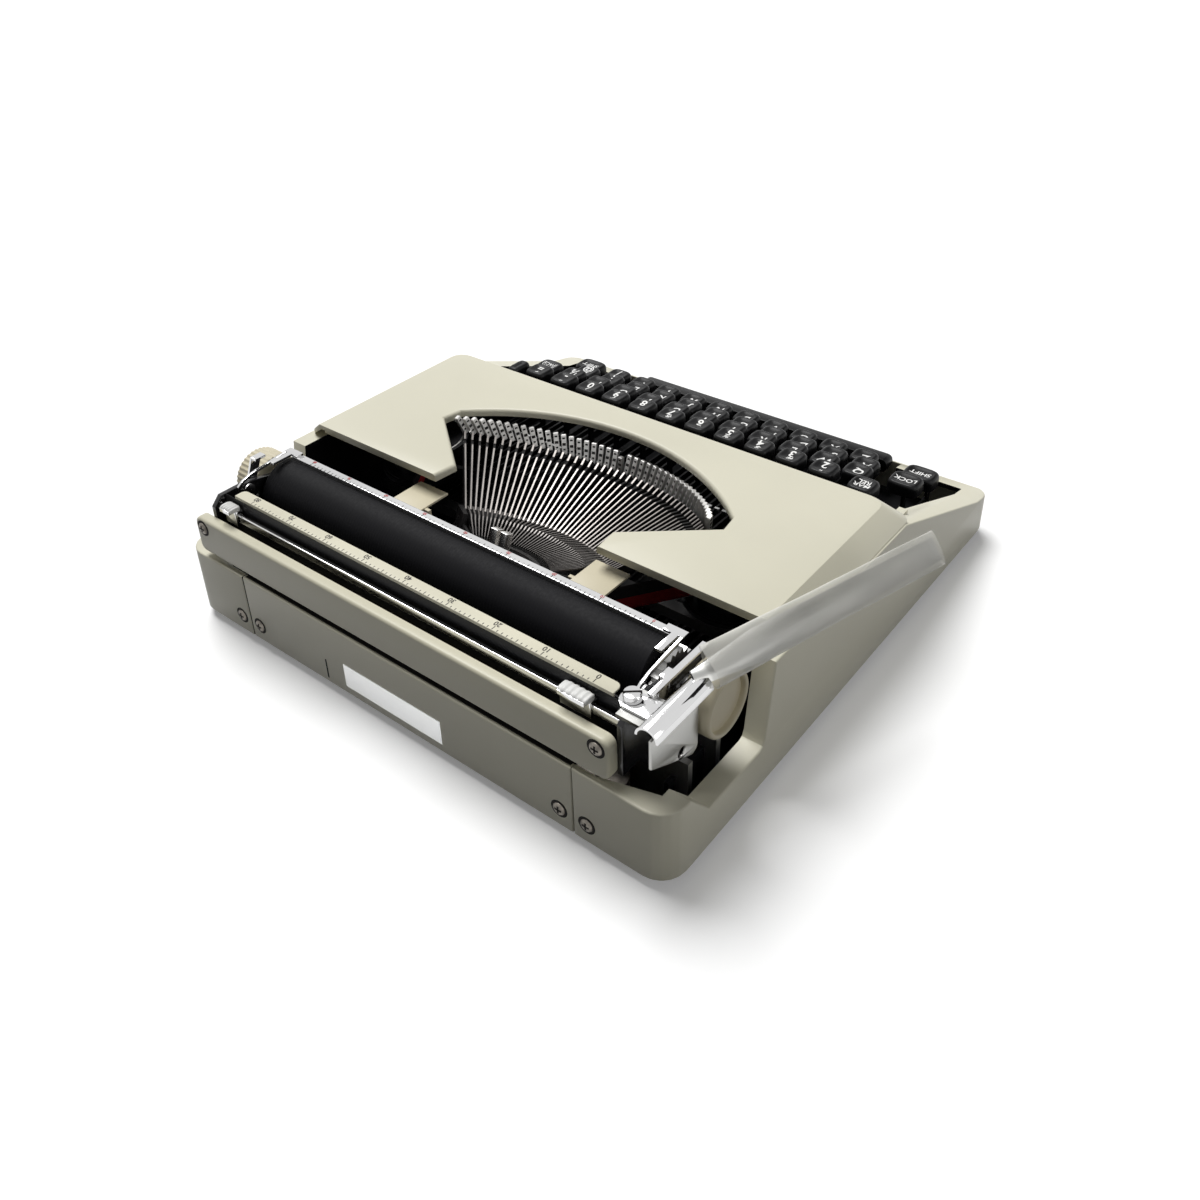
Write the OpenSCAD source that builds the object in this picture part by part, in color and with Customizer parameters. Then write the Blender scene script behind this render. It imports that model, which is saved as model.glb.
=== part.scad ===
// Manual portable typewriter, millimetres, +Z up, +Y to the rear, +X to the right of the typist.

/* [Case] */
// width of the case
body_w = 292; // [290:1:296]
// depth of the case
body_d = 302.5; // [301:0.5:306]
// radius of the case corners in plan
corner_r = 12; // [9:1:15]
// wall of the case
wall = 3; // [2.6:0.1:3.2]
// thickness of the case flanges and of the cover
skin = 2.5; // [2:0.1:2.8]
// height of the rubber feet
foot_h = 5; // [4:0.5:7]
// radius of the rubber feet
foot_r = 9; // [7:0.5:11]
// height of the rear wall above the case bottom
rear_h = 35; // [34:0.5:35.5]
// height of the side rim below the cover, above the case bottom
rim_h = 60.5; // [60:0.1:60.8]
// height of the front edge above the case bottom
front_h = 19; // [18:0.5:20]
// thickness of the base plate
base_t = 1.5; // [1.2:0.1:2]

/* [Cover] */
// top of the cover above the case bottom
cover_h = 69.2; // [69:0.1:69.4]
// half width of the flat top of the cover
cover_hw = 135; // [133:0.5:137]
// radius of the front arc of the cover opening
arch_r = 125; // [123:0.5:127]
// depth of the turned-down lip round the opening
lip_h = 4; // [3:0.5:5]
// radius of the cover hinge pins
cover_pin_r = 2; // [1.6:0.1:2.4]

/* [Carriage] */
// radius of the platen
platen_r = 16.5; // [16:0.1:16.8]
// length of the platen
platen_l = 228; // [226:1:229]
// radius of the platen shaft
shaft_r = 4; // [3:0.25:4.5]
// radius of the platen knobs
knob_r = 14.4; // [13:0.2:14.6]
// length of the platen knobs
knob_l = 14; // [12:0.5:14]
// thickness of the carriage end plates
plate_t = 2.5; // [2:0.1:2.8]
// radius of the feed rollers
feed_r = 4.5; // [4:0.1:4.6]

/* [Type basket] */
// number of typebars
bar_n = 43; // [41:2:43]
// thickness of a typebar
bar_t = 1.2; // [1:0.05:1.25]
// length of a typebar from pivot to type face
bar_l = 55.5; // [55:0.1:56]
// radius of the circle of typebar pivots
pivot_r = 55.1; // [54.8:0.1:55.6]
// radius of the fulcrum wire of the typebars
wire_r = 0.75; // [0.6:0.05:0.8]

/* [Keys] */
// pitch of the keys in a row
pitch = 19.05; // [18.8:0.05:19.2]
// width of a key cap
cap_w = 14.5; // [13.5:0.1:15]
// depth of a key cap
cap_d = 14; // [13:0.1:14.6]
// height of a key cap
cap_h = 7; // [6:0.25:8]
// thickness of a key lever
lever_t = 1.2; // [1:0.05:1.4]
// radius of the key-lever fulcrum shaft
fulcrum_r = 2.5; // [2:0.1:2.8]

/* [Ribbon] */
// radius of a ribbon spool
spool_r = 23; // [21:0.5:24]
// width of the ribbon
ribbon_w = 13; // [12.5:0.1:13.2]

/* [Clearances] */
// gap between a key cap and the stem that carries it
seat = 0.1; // [0.05:0.05:0.2]
// gap between neighbouring bodies
gap = 0.3; // [0.25:0.05:0.4]
// running clearance of a shaft or slide
fit = 0.05; // [0.03:0.01:0.08]

/* [Hidden] */
$fn = 48;
hw = body_w / 2;
fy = -body_d / 2;
ry = body_d / 2;
z0 = foot_h;
base_z = z0 + base_t;
rear_z = z0 + rear_h;
rim_z = z0 + rim_h;
front_z = z0 + front_h;
top_z = z0 + cover_h;
ledge_z = z0 + 20;
rim_w = 10;
in_x = hw - rim_w;
well_x = in_x - 3;
bar_x = 95;
platen_y = ry - 46.5;
platen_z = z0 + 54.5;
cover_d = 105.5;
cover_y1 = platen_y - 35.5;
cover_y0 = cover_y1 - cover_d;
block_y = cover_y1 + 10.25;
ledge_y0 = block_y + 5.5;
ledge_y1 = ry - 27;
ramp_y = ry - 14.25;
slope_y = fy + 20;
slope_z = front_z + 3.5;
hinge_y = cover_y0 - 14.75;
hinge_z = rim_z - 10.5;
panel_x = hw - 45.5;
platen_x0 = -110;
platen_x1 = platen_x0 + platen_l;
lep_x = -118.5;
rep_x = 121;
rail_ys = [platen_y - 7.75, platen_y + 12.25];
rail_t = 3;
rail_top = z0 + 29;
rail_x = in_x - 4;
frame_x = in_x - 12;
frame_t = 2;
fulcrum_y = platen_y - 44;
fulcrum_z = z0 + 14.5;
// the sleeve of the lever reaches furthest to the left, the case furthest to the right
knob_x0 = -127;
knob_x1 = 128;
lever_px = -120;
lever_py = platen_y + 32.65;
lever_z = top_z + 0.1;
lever_root = [-136, lever_py - 22];
lever_yaw = 18.75;
lever_len = 119;
lever_pitch = 3.2;
lever_lean = 38;
lever_hh = 6.5;
sleeve_out = 1.5;
sleeve_x = lever_root[0] - (lever_len + sleeve_out) * sin(lever_yaw) - 5.25;
origin_x = -(sleeve_x + hw) / 2;

// corner points of a rounded rectangle, centred
function rr(w, d, r, n = 5) = [
    for (q = [0:3])
        for (i = [0:n])
            let (a = 90 * q + 90 * i / n, sx = (q == 0 || q == 3) ? 1 : -1, sy = q < 2 ? 1 : -1)
                [sx * (w / 2 - r) + r * cos(a), sy * (d / 2 - r) + r * sin(a)]
];

// points of the opening of the cover, grown by o
function arch(o = 0) = concat(
    [[49.6 + o, cover_y1 + o + 1], [48.2 + o, cover_y1 - 13.25 + 0.482 * o],
     [86.5 + o, cover_y1 - 43.75 + 0.482 * o], [85 + o, cover_y1 - 54.25]],
    [for (i = [1:23]) let (a = 42 - 84 * i / 24, r = arch_r + o)
        if (abs(r * sin(a)) < 84 + o) [r * sin(a), cover_y0 + 143 - r * cos(a)]],
    [[-85 - o, cover_y1 - 54.25], [-86.5 - o, cover_y1 - 43.75 + 0.482 * o],
     [-48.2 - o, cover_y1 - 13.25 + 0.482 * o], [-49.6 - o, cover_y1 + o + 1]]
);

// sideways direction at point i of a route
function side(p, i) = let (d = p[min(i + 1, len(p) - 1)] - p[max(i - 1, 0)]) [-d[1], d[0]] / norm(d);

// outline of a strip of width w along a route
function strip(p, w) = concat(
    [for (i = [0:len(p) - 1]) p[i] + w / 2 * side(p, i)],
    [for (i = [len(p) - 1:-1:0]) p[i] - w / 2 * side(p, i)]
);

// a profile in Y and Z drawn out along X from x0 over w
module along_x(x0, w) {
    translate([x0, 0, 0])
        rotate([90, 0, 90])
            linear_extrude(w)
                children();
}

// a profile in X and Z drawn out along Y from y0 over d
module along_y(y0, d) {
    translate([0, y0 + d, 0])
        rotate([90, 0, 0])
            linear_extrude(d)
                children();
}

// a rod along X
module rod(x0, x1, y, z, r) {
    translate([x0, y, z])
        rotate([0, 90, 0])
            cylinder(h = x1 - x0, r = r);
}

// a box given by its two corners
module box(a, b) {
    translate(a)
        cube(b - a);
}

module placed() {
    translate([origin_x, 0, 0])
        children();
}

// side outline of the case, drawn in by i
module case_side(i) {
    polygon([
        [ry - i, z0 - 1], [ry - i, rear_z - i], [ramp_y + i / 3, rear_z - i], [ledge_y1 + i / 3, ledge_z - i],
        [ledge_y0 + 3 - i, ledge_z - i], [ledge_y0 + 0.8 - i, ledge_z + 0.9 - i],
        [ledge_y0 - 0.5 - i, ledge_z + 3.5 - i], [block_y - i, rim_z - i], [cover_y0, rim_z - i],
        [slope_y, slope_z - i], [fy + 1.5 + i, front_z - i], [fy + i, front_z - 1.5 - i], [fy + i, z0 - 1]
    ]);
}

module lower_case() {
    boss = 9;
    flange = 10;
    bx = hw - wall;
    by = ry - wall;
    color([0.80, 0.78, 0.70])
    difference() {
        union() {
            difference() {
                intersection() {
                    translate([0, 0, z0])
                        linear_extrude(rim_h + 1)
                            polygon(rr(body_w, body_d, corner_r));
                    along_x(-hw - 1, body_w + 2)
                        case_side(0);
                }
                intersection() {
                    translate([0, 0, z0 - 1])
                        linear_extrude(rim_h + 2)
                            polygon(rr(body_w - 2 * wall, body_d - 2 * wall, corner_r - wall));
                    along_x(-hw - 1, body_w + 2)
                        case_side(skin);
                }
            }
            for (sx = [-1, 1])
                for (sy = [-1, 1])
                    translate([sx * (bx - boss / 2), sy * (by - boss / 2), base_z])
                        translate([-boss / 2 - 0.5 + (sx + 1) / 2, -boss / 2 - 0.5 + (sy + 1) / 2, 0])
                            cube([boss, boss, 8]);
            // lugs that hold the cover hinge pins
            for (sx = [-1, 1])
                translate([sx * (well_x + 2.5) - 2.2, hinge_y - 5, hinge_z - 5])
                    cube([4.4, 10, 10]);
        }
        translate([0, 0, z0 - 1])
            linear_extrude(rim_h + 3)
                polygon([
                    [-in_x, ry - flange], [25 - in_x, ry - wall], [in_x - 25, ry - wall],
                    [in_x, ry - flange], [in_x, hinge_y + 2], [well_x, hinge_y + 2],
                    [well_x, fy + 10], [bar_x, fy + 10], [bar_x, fy + wall], [-bar_x, fy + wall],
                    [-bar_x, fy + 10], [-well_x, fy + 10], [-well_x, hinge_y + 2], [-in_x, hinge_y + 2]
                ]);
        box([-panel_x - 0.25, ry - wall - 1, z0 - 1], [panel_x + 0.25, ry + 1, rear_z + 1]);
        rod(-hw + 4, hw - 4, hinge_y, hinge_z, cover_pin_r);
    }
}

module rear_panel() {
    color([0.80, 0.78, 0.70]) {
        box([-panel_x, ry - wall, z0], [panel_x, ry, rear_z]);
        // tabs that lie behind the case wall
        for (sx = [-1, 1])
            translate([sx * (panel_x + 2) - 10, ry - wall - 2.5, z0 + 4])
                cube([20, 2.5, 20]);
    }
}

module base_plate() {
    color([0.25, 0.25, 0.26])
        translate([0, 0, z0])
            linear_extrude(base_t)
                difference() {
                    polygon(rr(body_w - 2 * wall - 0.2, body_d - 2 * wall - 0.2, corner_r - wall));
                    for (sx = [-1, 1])
                        for (y = [fy + 70, 0, ry - 100])
                            translate([sx * 60, y])
                                circle(r = 12);
                }
}

module feet() {
    color([0.08, 0.08, 0.08])
        for (sx = [-1, 1])
            for (sy = [-1, 1])
                translate([sx * (hw - 22), sy * (ry - 22), 0])
                    cylinder(h = foot_h, r = foot_r);
}

module case_screws() {
    color([0.7, 0.7, 0.68])
        for (sx = [-1, 1])
            for (x = [panel_x - 6.8, panel_x + 7])
                translate([sx * x, ry, z0 + 9])
                    rotate([-90, 0, 0])
                        difference() {
                            cylinder(h = 1, r = 3, $fn = 24);
                            translate([-4, -0.4, 0.4])
                                cube([8, 0.8, 1]);
                        }
}

module side_frame(x) {
    rail_top_y = rail_ys[1] + 6;
    difference() {
        along_x(x, frame_t)
            polygon([
                [cover_y0 + 56, base_z], [rail_top_y, base_z], [rail_top_y, ledge_z - 1],
                [ledge_y0 - 8, ledge_z - 1], [ledge_y0 - 12, z0 + 35], [cover_y0 + 66, z0 + 35],
                [cover_y0 + 56, z0 + 28]
            ]);
        rod(x - 1, x + frame_t + 1, fulcrum_y, fulcrum_z, fulcrum_r);
    }
}

module frame_left() {
    color([0.2, 0.2, 0.21])
        side_frame(-frame_x - frame_t);
}

module frame_right() {
    color([0.2, 0.2, 0.21])
        side_frame(frame_x);
}

// rails that the carriage runs on
module rail(y) {
    color([0.6, 0.6, 0.6])
        difference() {
            box([-rail_x, y - rail_t / 2, base_z], [rail_x, y + rail_t / 2, rail_top]);
            for (sx = [-1, 1])
                box([sx * (frame_x + frame_t / 2) - frame_t / 2 - 0.1, y - rail_t, base_z - 1],
                    [sx * (frame_x + frame_t / 2) + frame_t / 2 + 0.1, y + rail_t, ledge_z - 0.9]);
        }
}

module front_rail() {
    rail(rail_ys[0]);
}

module rear_rail() {
    rail(rail_ys[1]);
}

module hinge_pins() {
    color([0.7, 0.7, 0.7])
        for (sx = [-1, 1])
            rod(sx > 0 ? well_x - 6 : -hw + 4, sx > 0 ? hw - 4 : -well_x + 6, hinge_y, hinge_z, cover_pin_r);
}

module ribbon_cover() {
    low = rim_z + gap;
    skirt = hw - 1;
    inset = skin;
    ear_x = well_x - 5;
    color([0.86, 0.85, 0.77]) {
        difference() {
            intersection() {
                along_y(cover_y0 - 20, 130)
                    polygon([
                        [-skirt, low], [-cover_hw, top_z], [cover_hw, top_z], [skirt, low],
                        [skirt, low - 12], [-skirt, low - 12]
                    ]);
                along_x(-hw, body_w)
                    polygon([
                        [cover_y1, low], [cover_y1, top_z], [cover_y0, top_z],
                        [cover_y0 - 7.5, low], [cover_y0, low]
                    ]);
                // rounded rear corners
                translate([0, cover_y1 - 100, low - 1])
                    linear_extrude(cover_h)
                        polygon(rr(2 * skirt, 200, 7));
            }
            intersection() {
                along_y(cover_y0 - 20, 130)
                    polygon([
                        [-skirt + inset, low - 12], [-skirt + inset, low], [-cover_hw + inset / 2, top_z - inset],
                        [cover_hw - inset / 2, top_z - inset], [skirt - inset, low], [skirt - inset, low - 12]
                    ]);
                along_x(-hw, body_w)
                    polygon([
                        [cover_y1 + 1, low - 1], [cover_y1 + 1, top_z - inset], [cover_y0 + 1.2, top_z - inset],
                        [cover_y0 - 5, low - 1]
                    ]);
            }
            translate([0, 0, low - 1])
                linear_extrude(cover_h)
                    polygon(arch());
        }
        // lip round the opening and along the rear edge
        translate([0, 0, top_z - skin - lip_h])
            linear_extrude(lip_h + 1)
                difference() {
                    union() {
                        polygon(arch(1.8));
                        translate([-cover_hw + 4, cover_y1 - 1.8])
                            square([2 * cover_hw - 8, 1.8]);
                    }
                    polygon(arch());
                    translate([-hw, cover_y1])
                        square([body_w, 20]);
                }
        // front panel down to the hinge
        along_x(-well_x + 0.5, 2 * well_x - 1)
            polygon([
                [cover_y0 - 5, low + 0.2], [cover_y0 - 7.4, low + 0.2], [hinge_y - 2.5, hinge_z + 3.2],
                [hinge_y - 0.2, hinge_z + 3.2]
            ]);
        for (sx = [-1, 1])
            difference() {
                along_x(sx * ear_x - 1.25, 2.5)
                    union() {
                        translate([hinge_y, hinge_z])
                            circle(r = cover_pin_r + 2);
                        polygon([
                            [hinge_y - 2.5, hinge_z + 1], [hinge_y - 2.5, hinge_z + 4],
                            [hinge_y + 1, hinge_z + 6], [hinge_y + 3.5, hinge_z + 1]
                        ]);
                    }
                rod(sx * ear_x - 2, sx * ear_x + 2, hinge_y, hinge_z, cover_pin_r + fit);
            }
    }
}

// frame of the type basket: its axis goes through the printing point
bar_span = 104;
bar_up = 39.6;
pivot_z = -7;
slot_w = bar_t + 0.24;
seg_r0 = 24;
seg_ri = 27;
seg_r1 = 48;
seg_r2 = 60;
seg_z0 = -14;
seg_z1 = -11.5;
seg_zi = -7.5;
seg_z2 = -2;
bar_mid = (bar_n - 1) / 2;
function bar_a(i) = -bar_span / 2 + bar_span * i / (bar_n - 1);
function ring_pt(r, a) = [r * sin(a), -r * cos(a)];

module basket() {
    translate([0, platen_y - 17.5, z0 + 60])
        rotate([22, 0, 0])
            children();
}

module segment() {
    half = asin(slot_w / 2 / seg_r1);
    tip = asin(slot_w / 2 / seg_r2);
    wide = asin((slot_w / 2 + 0.1) / seg_r1);
    end = bar_span / 2 + 4;
    fin_end = end - 0.5;
    comb_end = end - 1;
    color([0.55, 0.55, 0.55]) {
        basket() {
            translate([0, 0, seg_z0])
                linear_extrude(seg_z1 - seg_z0)
                    polygon(concat(
                        [for (i = [0:24]) ring_pt(seg_r2, -end + 2 * end * i / 24)],
                        [for (i = [0:24]) ring_pt(seg_r0, end - 2 * end * i / 24)]
                    ));
            // fins on both sides of each pivot
            translate([0, 0, seg_z1])
                linear_extrude(seg_z2 - seg_z1)
                    for (i = [0:bar_n])
                        let (
                            from = i == 0 ? [-fin_end, -fin_end] : [bar_a(i - 1) + tip, bar_a(i - 1) + half],
                            to = i == bar_n ? [fin_end, fin_end] : [bar_a(i) - tip, bar_a(i) - half]
                        )
                            polygon([
                                ring_pt(seg_r2, from[0]), ring_pt(seg_r2, to[0]), ring_pt(seg_r1, to[1]),
                                ring_pt(seg_r1 - 2, to[1]), ring_pt(seg_r1 - 2, from[1]), ring_pt(seg_r1, from[1])
                            ]);
            // lower comb that leads the bars in towards the printing point
            translate([0, 0, seg_z1])
                linear_extrude(seg_zi - seg_z1)
                    polygon(concat(
                        [ring_pt(seg_r1 - 1, -comb_end)],
                        [for (i = [0:bar_n - 1]) each [
                            ring_pt(seg_r1 - 1, bar_a(i) - wide), ring_pt(seg_ri, bar_a(i) - wide),
                            ring_pt(seg_ri, bar_a(i) + wide), ring_pt(seg_r1 - 1, bar_a(i) + wide)
                        ]],
                        [ring_pt(seg_r1 - 1, comb_end)],
                        [for (i = [0:24]) ring_pt(seg_r0 + 0.5, comb_end - 2 * comb_end * i / 24)]
                    ));
            translate([0, 0, pivot_z])
                rotate([0, 0, -90 - end])
                    rotate_extrude(angle = 2 * end)
                        translate([pivot_r, 0])
                            circle(r = wire_r, $fn = 16);
        }
        // bridge between the side frames
        box([-frame_x, platen_y - 68, z0 + 22], [frame_x, platen_y - 61.5, z0 + 27.8]);
    }
}

// one typebar, lying at rest, in its own plane
module typebar() {
    translate([0, -pivot_r, pivot_z])
        rotate([-bar_up, 0, 0]) {
            along_x(-bar_t / 2, bar_t)
                difference() {
                    polygon([
                        [3.2, -1.6], [3.2, 1.6], [1.5, 2.2], [-6, 2.2], [-bar_l + 3, 1.3],
                        [-bar_l + 3, -1.5], [-6, -2.2], [1.5, -2.2]
                    ]);
                    circle(r = wire_r + fit, $fn = 24);
                }
            // type slug at the free end
            box([-1.35, -bar_l - 0.6, -1.5], [1.35, -bar_l + 3, 6]);
        }
}

module typebars() {
    color([0.72, 0.72, 0.72])
        basket()
            for (i = [0:bar_n - 1])
                if (i != bar_mid)
                    rotate([0, 0, bar_a(i)])
                        typebar();
}

module typebar_centre() {
    color([0.72, 0.72, 0.72])
        basket()
            typebar();
}

module type_guide() {
    guide_y = -7.5;
    color([0.75, 0.75, 0.75])
        basket() {
            box([-5, -seg_ri - 4, seg_z0 - 2], [5, guide_y, seg_z0]);
            for (sx = [-1, 1])
                box([sx * 3 - 2, guide_y - 4.5, seg_z0 - 1], [sx * 3 + 2, guide_y, 5]);
        }
}

module type_rest() {
    r0 = 80;
    r1 = 86;
    post_x = 26.2;
    color([0.1, 0.1, 0.1]) {
        basket()
            translate([0, 0, 8])
                linear_extrude(3)
                    polygon(concat(
                        [for (i = [0:24]) ring_pt(r1, -56 + 112 * i / 24)],
                        [for (i = [0:24]) ring_pt(r0, 56 - 112 * i / 24)]
                    ));
        for (sx = [-1, 1])
            box([sx * post_x - 0.75, platen_y - 96, base_z], [sx * post_x + 0.75, platen_y - 92, z0 + 39.5]);
    }
}

module fulcrum_shaft() {
    color([0.6, 0.6, 0.6])
        rod(-frame_x - frame_t, frame_x + frame_t, fulcrum_y, fulcrum_z, fulcrum_r);
}

// rows of keys: place in Y, top of cap, first key in X, number of keys
row_front = fy + 22.1;
row_step = (hinge_y - 20.25 - row_front) / 3;
row_y = [for (r = [0:3]) row_front + (3 - r) * row_step];
row_z = [z0 + 53, z0 + 45.3, z0 + 37.6, z0 + 29.9];
row_x = [9.85 - 5 * pitch, 0.35 - 5 * pitch, 5.15 - 5 * pitch, 14.65 - 5 * pitch];
row_n = [11, 11, 11, 10];
home_mid = 5;
// the arms of the space bar pass between the home levers and the bottom caps
space_off = ((pitch - cap_w) / 2 + lever_t / 2) / 2;
space_xs = [row_x[2] + pitch - space_off, row_x[2] + 8 * pitch + space_off];
mar_x = -108.7;
lock_x = -114.5;
shift_x = 118.6;
back_x = 114.65;
tab_x = 121.8;
lever_h = 5;
stem_d = 4;
arm_xs = concat(
    [for (r = [0:3]) for (i = [0:row_n[r] - 1]) row_x[r] + pitch * i],
    space_xs, [mar_x, lock_x, -shift_x, shift_x, back_x, tab_x]
);

// a key lever at x, with its stem at y reaching up to z
module key_lever(x, y, z, drop = 0) {
    along_x(x - lever_t / 2, lever_t)
        difference() {
            union() {
                translate([fulcrum_y, fulcrum_z])
                    circle(r = fulcrum_r + 2, $fn = 32);
                polygon([
                    [fulcrum_y, fulcrum_z - lever_h / 2], [fulcrum_y, fulcrum_z + lever_h / 2],
                    [y + stem_d / 2, fulcrum_z + lever_h / 2], [y + stem_d / 2, z], [y - stem_d / 2, z],
                    [y - stem_d / 2, fulcrum_z - lever_h / 2]
                ]);
                if (drop > 0)
                    translate([fulcrum_y - 19, fulcrum_z - drop - 1.5])
                        square([6, drop + 1.5]);
            }
            translate([fulcrum_y, fulcrum_z])
                circle(r = fulcrum_r + fit);
        }
}

// a key cap centred on x and y with its top at z
module key_cap(x, y, z, w = cap_w, d = cap_d) {
    translate([x, y, z - cap_h]) {
        linear_extrude(cap_h - 2)
            polygon(rr(w, d, 3, 3));
        translate([0, 0, cap_h - 2])
            linear_extrude(2)
                polygon(rr(w - 2, d - 2, 3, 3));
    }
}

module key(x, y, z, w = cap_w, lx = 0) {
    key_lever(x + lx, y, z - cap_h - seat, 0);
    key_cap(x, y, z, w);
}

module key_row(r, skip = -1) {
    color([0.07, 0.07, 0.07])
        for (i = [0:row_n[r] - 1])
            if (i != skip)
                key(row_x[r] + pitch * i, row_y[r], row_z[r]);
}

module keys_number() {
    key_row(0);
}

module keys_top() {
    key_row(1);
}

module keys_home() {
    key_row(2, home_mid);
}

module keys_bottom() {
    key_row(3);
}

module key_centre() {
    color([0.07, 0.07, 0.07])
        key(row_x[2] + pitch * home_mid, row_y[2], row_z[2]);
}

module shift_keys() {
    y = row_y[3] - 1;
    drop = 8;
    color([0.07, 0.07, 0.07]) {
        for (sx = [-1, 1]) {
            key_lever(sx * shift_x, y, row_z[3] - cap_h - seat, drop);
            key_cap(sx * 113.5, y, row_z[3], 18.5);
        }
        // rod that joins the two levers below all the others
        rod(-shift_x, shift_x, fulcrum_y - 16, fulcrum_z - drop, 1.5);
    }
}

module shift_lock() {
    color([0.07, 0.07, 0.07])
        key(lock_x, row_y[2] + 2, row_z[2], 17);
}

module margin_release() {
    color([0.07, 0.07, 0.07])
        key(mar_x, row_y[0] + 3, row_z[0]);
}

module back_space() {
    color([0.07, 0.07, 0.07])
        key(back_x, row_y[1], row_z[1], 15.5);
}

module tab_key() {
    color([0.07, 0.07, 0.07])
        key(tab_x - 2.5, row_y[0] + 3, row_z[0], 8, 2.5);
}

module space_bar() {
    y0 = fy + 3.9;
    y1 = fy + 12.1;
    zt = z0 + 24;
    color([0.07, 0.07, 0.07]) {
        for (x = space_xs)
            key_lever(x, y1, zt - 6);
        translate([-4.75, 0, 0])
            along_y(y0, y1 - y0)
                translate([0, zt - 4])
                    polygon(rr(170.5, 8, 3, 3));
    }
}

module lever_comb() {
    slot = lever_t + 0.8;
    color([0.5, 0.5, 0.5])
        along_y(hinge_y - 0.25, 1.5)
            difference() {
                translate([-frame_x, base_z])
                    square([2 * frame_x, z0 + 19 - base_z]);
                for (x = arm_xs)
                    translate([x - slot / 2, base_z + 1.6])
                        square([slot, 20]);
            }
}

// ribbon spools, their cups, and the ribbon between them
spool_x = frame_x - 27;
spool_y = platen_y - 73.75;
spool_z = z0 + 42;
spool_h = 15;
hub_r = 3;
pack_r = 18;

module spool(sx) {
    rim = 0.8;
    color([0.15, 0.15, 0.15])
        translate([sx * spool_x, spool_y, spool_z + gap])
            difference() {
                union() {
                    cylinder(h = rim, r = spool_r);
                    cylinder(h = spool_h, r = pack_r);
                    translate([0, 0, spool_h - rim])
                        cylinder(h = rim, r = spool_r);
                }
                translate([0, 0, -1])
                    cylinder(h = spool_h + 2, r = hub_r + fit);
            }
}

module spool_left() {
    spool(-1);
}

module spool_right() {
    spool(1);
}

module spool_cups() {
    color([0.12, 0.12, 0.12])
        for (sx = [-1, 1]) {
            translate([sx * spool_x, spool_y, spool_z - 2])
                cylinder(h = 2, r = spool_r + 1);
            translate([sx * spool_x, spool_y, spool_z - 1])
                cylinder(h = spool_h + 3, r = hub_r);
            translate([sx * (frame_x + frame_t / 2) - 5, spool_y - 5, z0 + 35])
                cube([6 + 4, 10, spool_z - z0 - 35]);
        }
}

module ribbon() {
    t = 0.15;
    zb = spool_z + 1.3;
    s0 = [spool_x - 12.4, spool_y + 14];
    s1 = [58, platen_y - 20.75];
    s2 = [50, platen_y - 17.6];
    color([0.25, 0.05, 0.05])
        translate([0, 0, zb])
            linear_extrude(ribbon_w)
                polygon([
                    [-s0[0], s0[1] + t], [-s1[0], s1[1] + t], [-s2[0], s2[1] + t], [s2[0], s2[1] + t],
                    [s1[0], s1[1] + t], [s0[0], s0[1] + t], [s0[0] - 2 * t, s0[1]], [s1[0] - 2 * t, s1[1] - t],
                    [s2[0], s2[1] - t], [-s2[0], s2[1] - t], [-s1[0] + 2 * t, s1[1] - t], [-s0[0] + 2 * t, s0[1]]
                ]);
}

module ribbon_guides() {
    w = 14;
    color([0.85, 0.82, 0.72])
        for (sx = [-1, 1])
            translate([sx * 50, platen_y - 22.5, 0]) {
                box([-w / 2, -2, base_z], [-w / 2 + 3, 1, z0 + 40]);
                box([-w / 2, -2.5, z0 + 40], [w / 2, 2, z0 + 42.8]);
                box([-w / 2, -2.5, z0 + 40], [w / 2, -0.6, z0 + 57.4]);
                // plate over the ribbon, towards the spool
                box([5.5 * sx - 9.5, -17, z0 + 56.8], [5.5 * sx + 9.5, 1.5, z0 + 58]);
            }
}

// carriage
cf_z0 = rail_top + 0.6;
cf_t = 1.8;
bail_y = platen_y + 21.25;
bail_z = z0 + 64;
pin_r = 1.5;
side_y = platen_y + 17.25;
side_z = z0 + 59;
feed_y = platen_y - 12;
feed_z = platen_z - sqrt(pow(platen_r + feed_r + gap, 2) - 144);
axle_r = 2;
mrail_y = platen_y + 35.25;
mrail_z = z0 + 58;
brack_z = z0 + 67.6;
cover_rear = ry - 0.5;
shell_d = 5.6;

module carriage_frame() {
    leg = 2;
    run = 2 * fit;
    color([0.2, 0.2, 0.2]) {
        box([lep_x, rail_ys[0] - 5, cf_z0], [rep_x, rail_ys[1] + 11, cf_z0 + cf_t]);
        for (y = rail_ys)
            for (sy = [-1, 1])
                translate([-100, y + sy * (rail_t / 2 + run + leg / 2) - leg / 2, z0 + 23])
                    cube([200, leg, cf_z0 - z0 - 23]);
    }
}

module end_plate(x) {
    difference() {
        along_x(x, plate_t)
            polygon([
                [platen_y - 16.5, cf_z0], [platen_y + 23, cf_z0], [platen_y + 30, z0 + 38.5],
                [cover_rear - shell_d, z0 + 38.5], [cover_rear - shell_d, z0 + 63], [platen_y + 36, brack_z],
                [platen_y + 22, brack_z], [platen_y + 13, z0 + 66], [platen_y - 13, z0 + 60],
                [platen_y - 16.5, z0 + 56]
            ]);
        rod(x - 1, x + plate_t + 1, platen_y, platen_z, shaft_r + fit);
        rod(x - 1, x + plate_t + 1, feed_y, feed_z, axle_r + fit);
        rod(x - 1, x + plate_t + 1, bail_y, bail_z, pin_r + fit);
        rod(x - 1, x + plate_t + 1, side_y, side_z, pin_r + fit);
    }
}

module left_end_plate() {
    color([0.1, 0.1, 0.1])
        end_plate(lep_x - plate_t);
}

module right_end_plate() {
    color([0.1, 0.1, 0.1])
        end_plate(rep_x);
}

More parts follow.
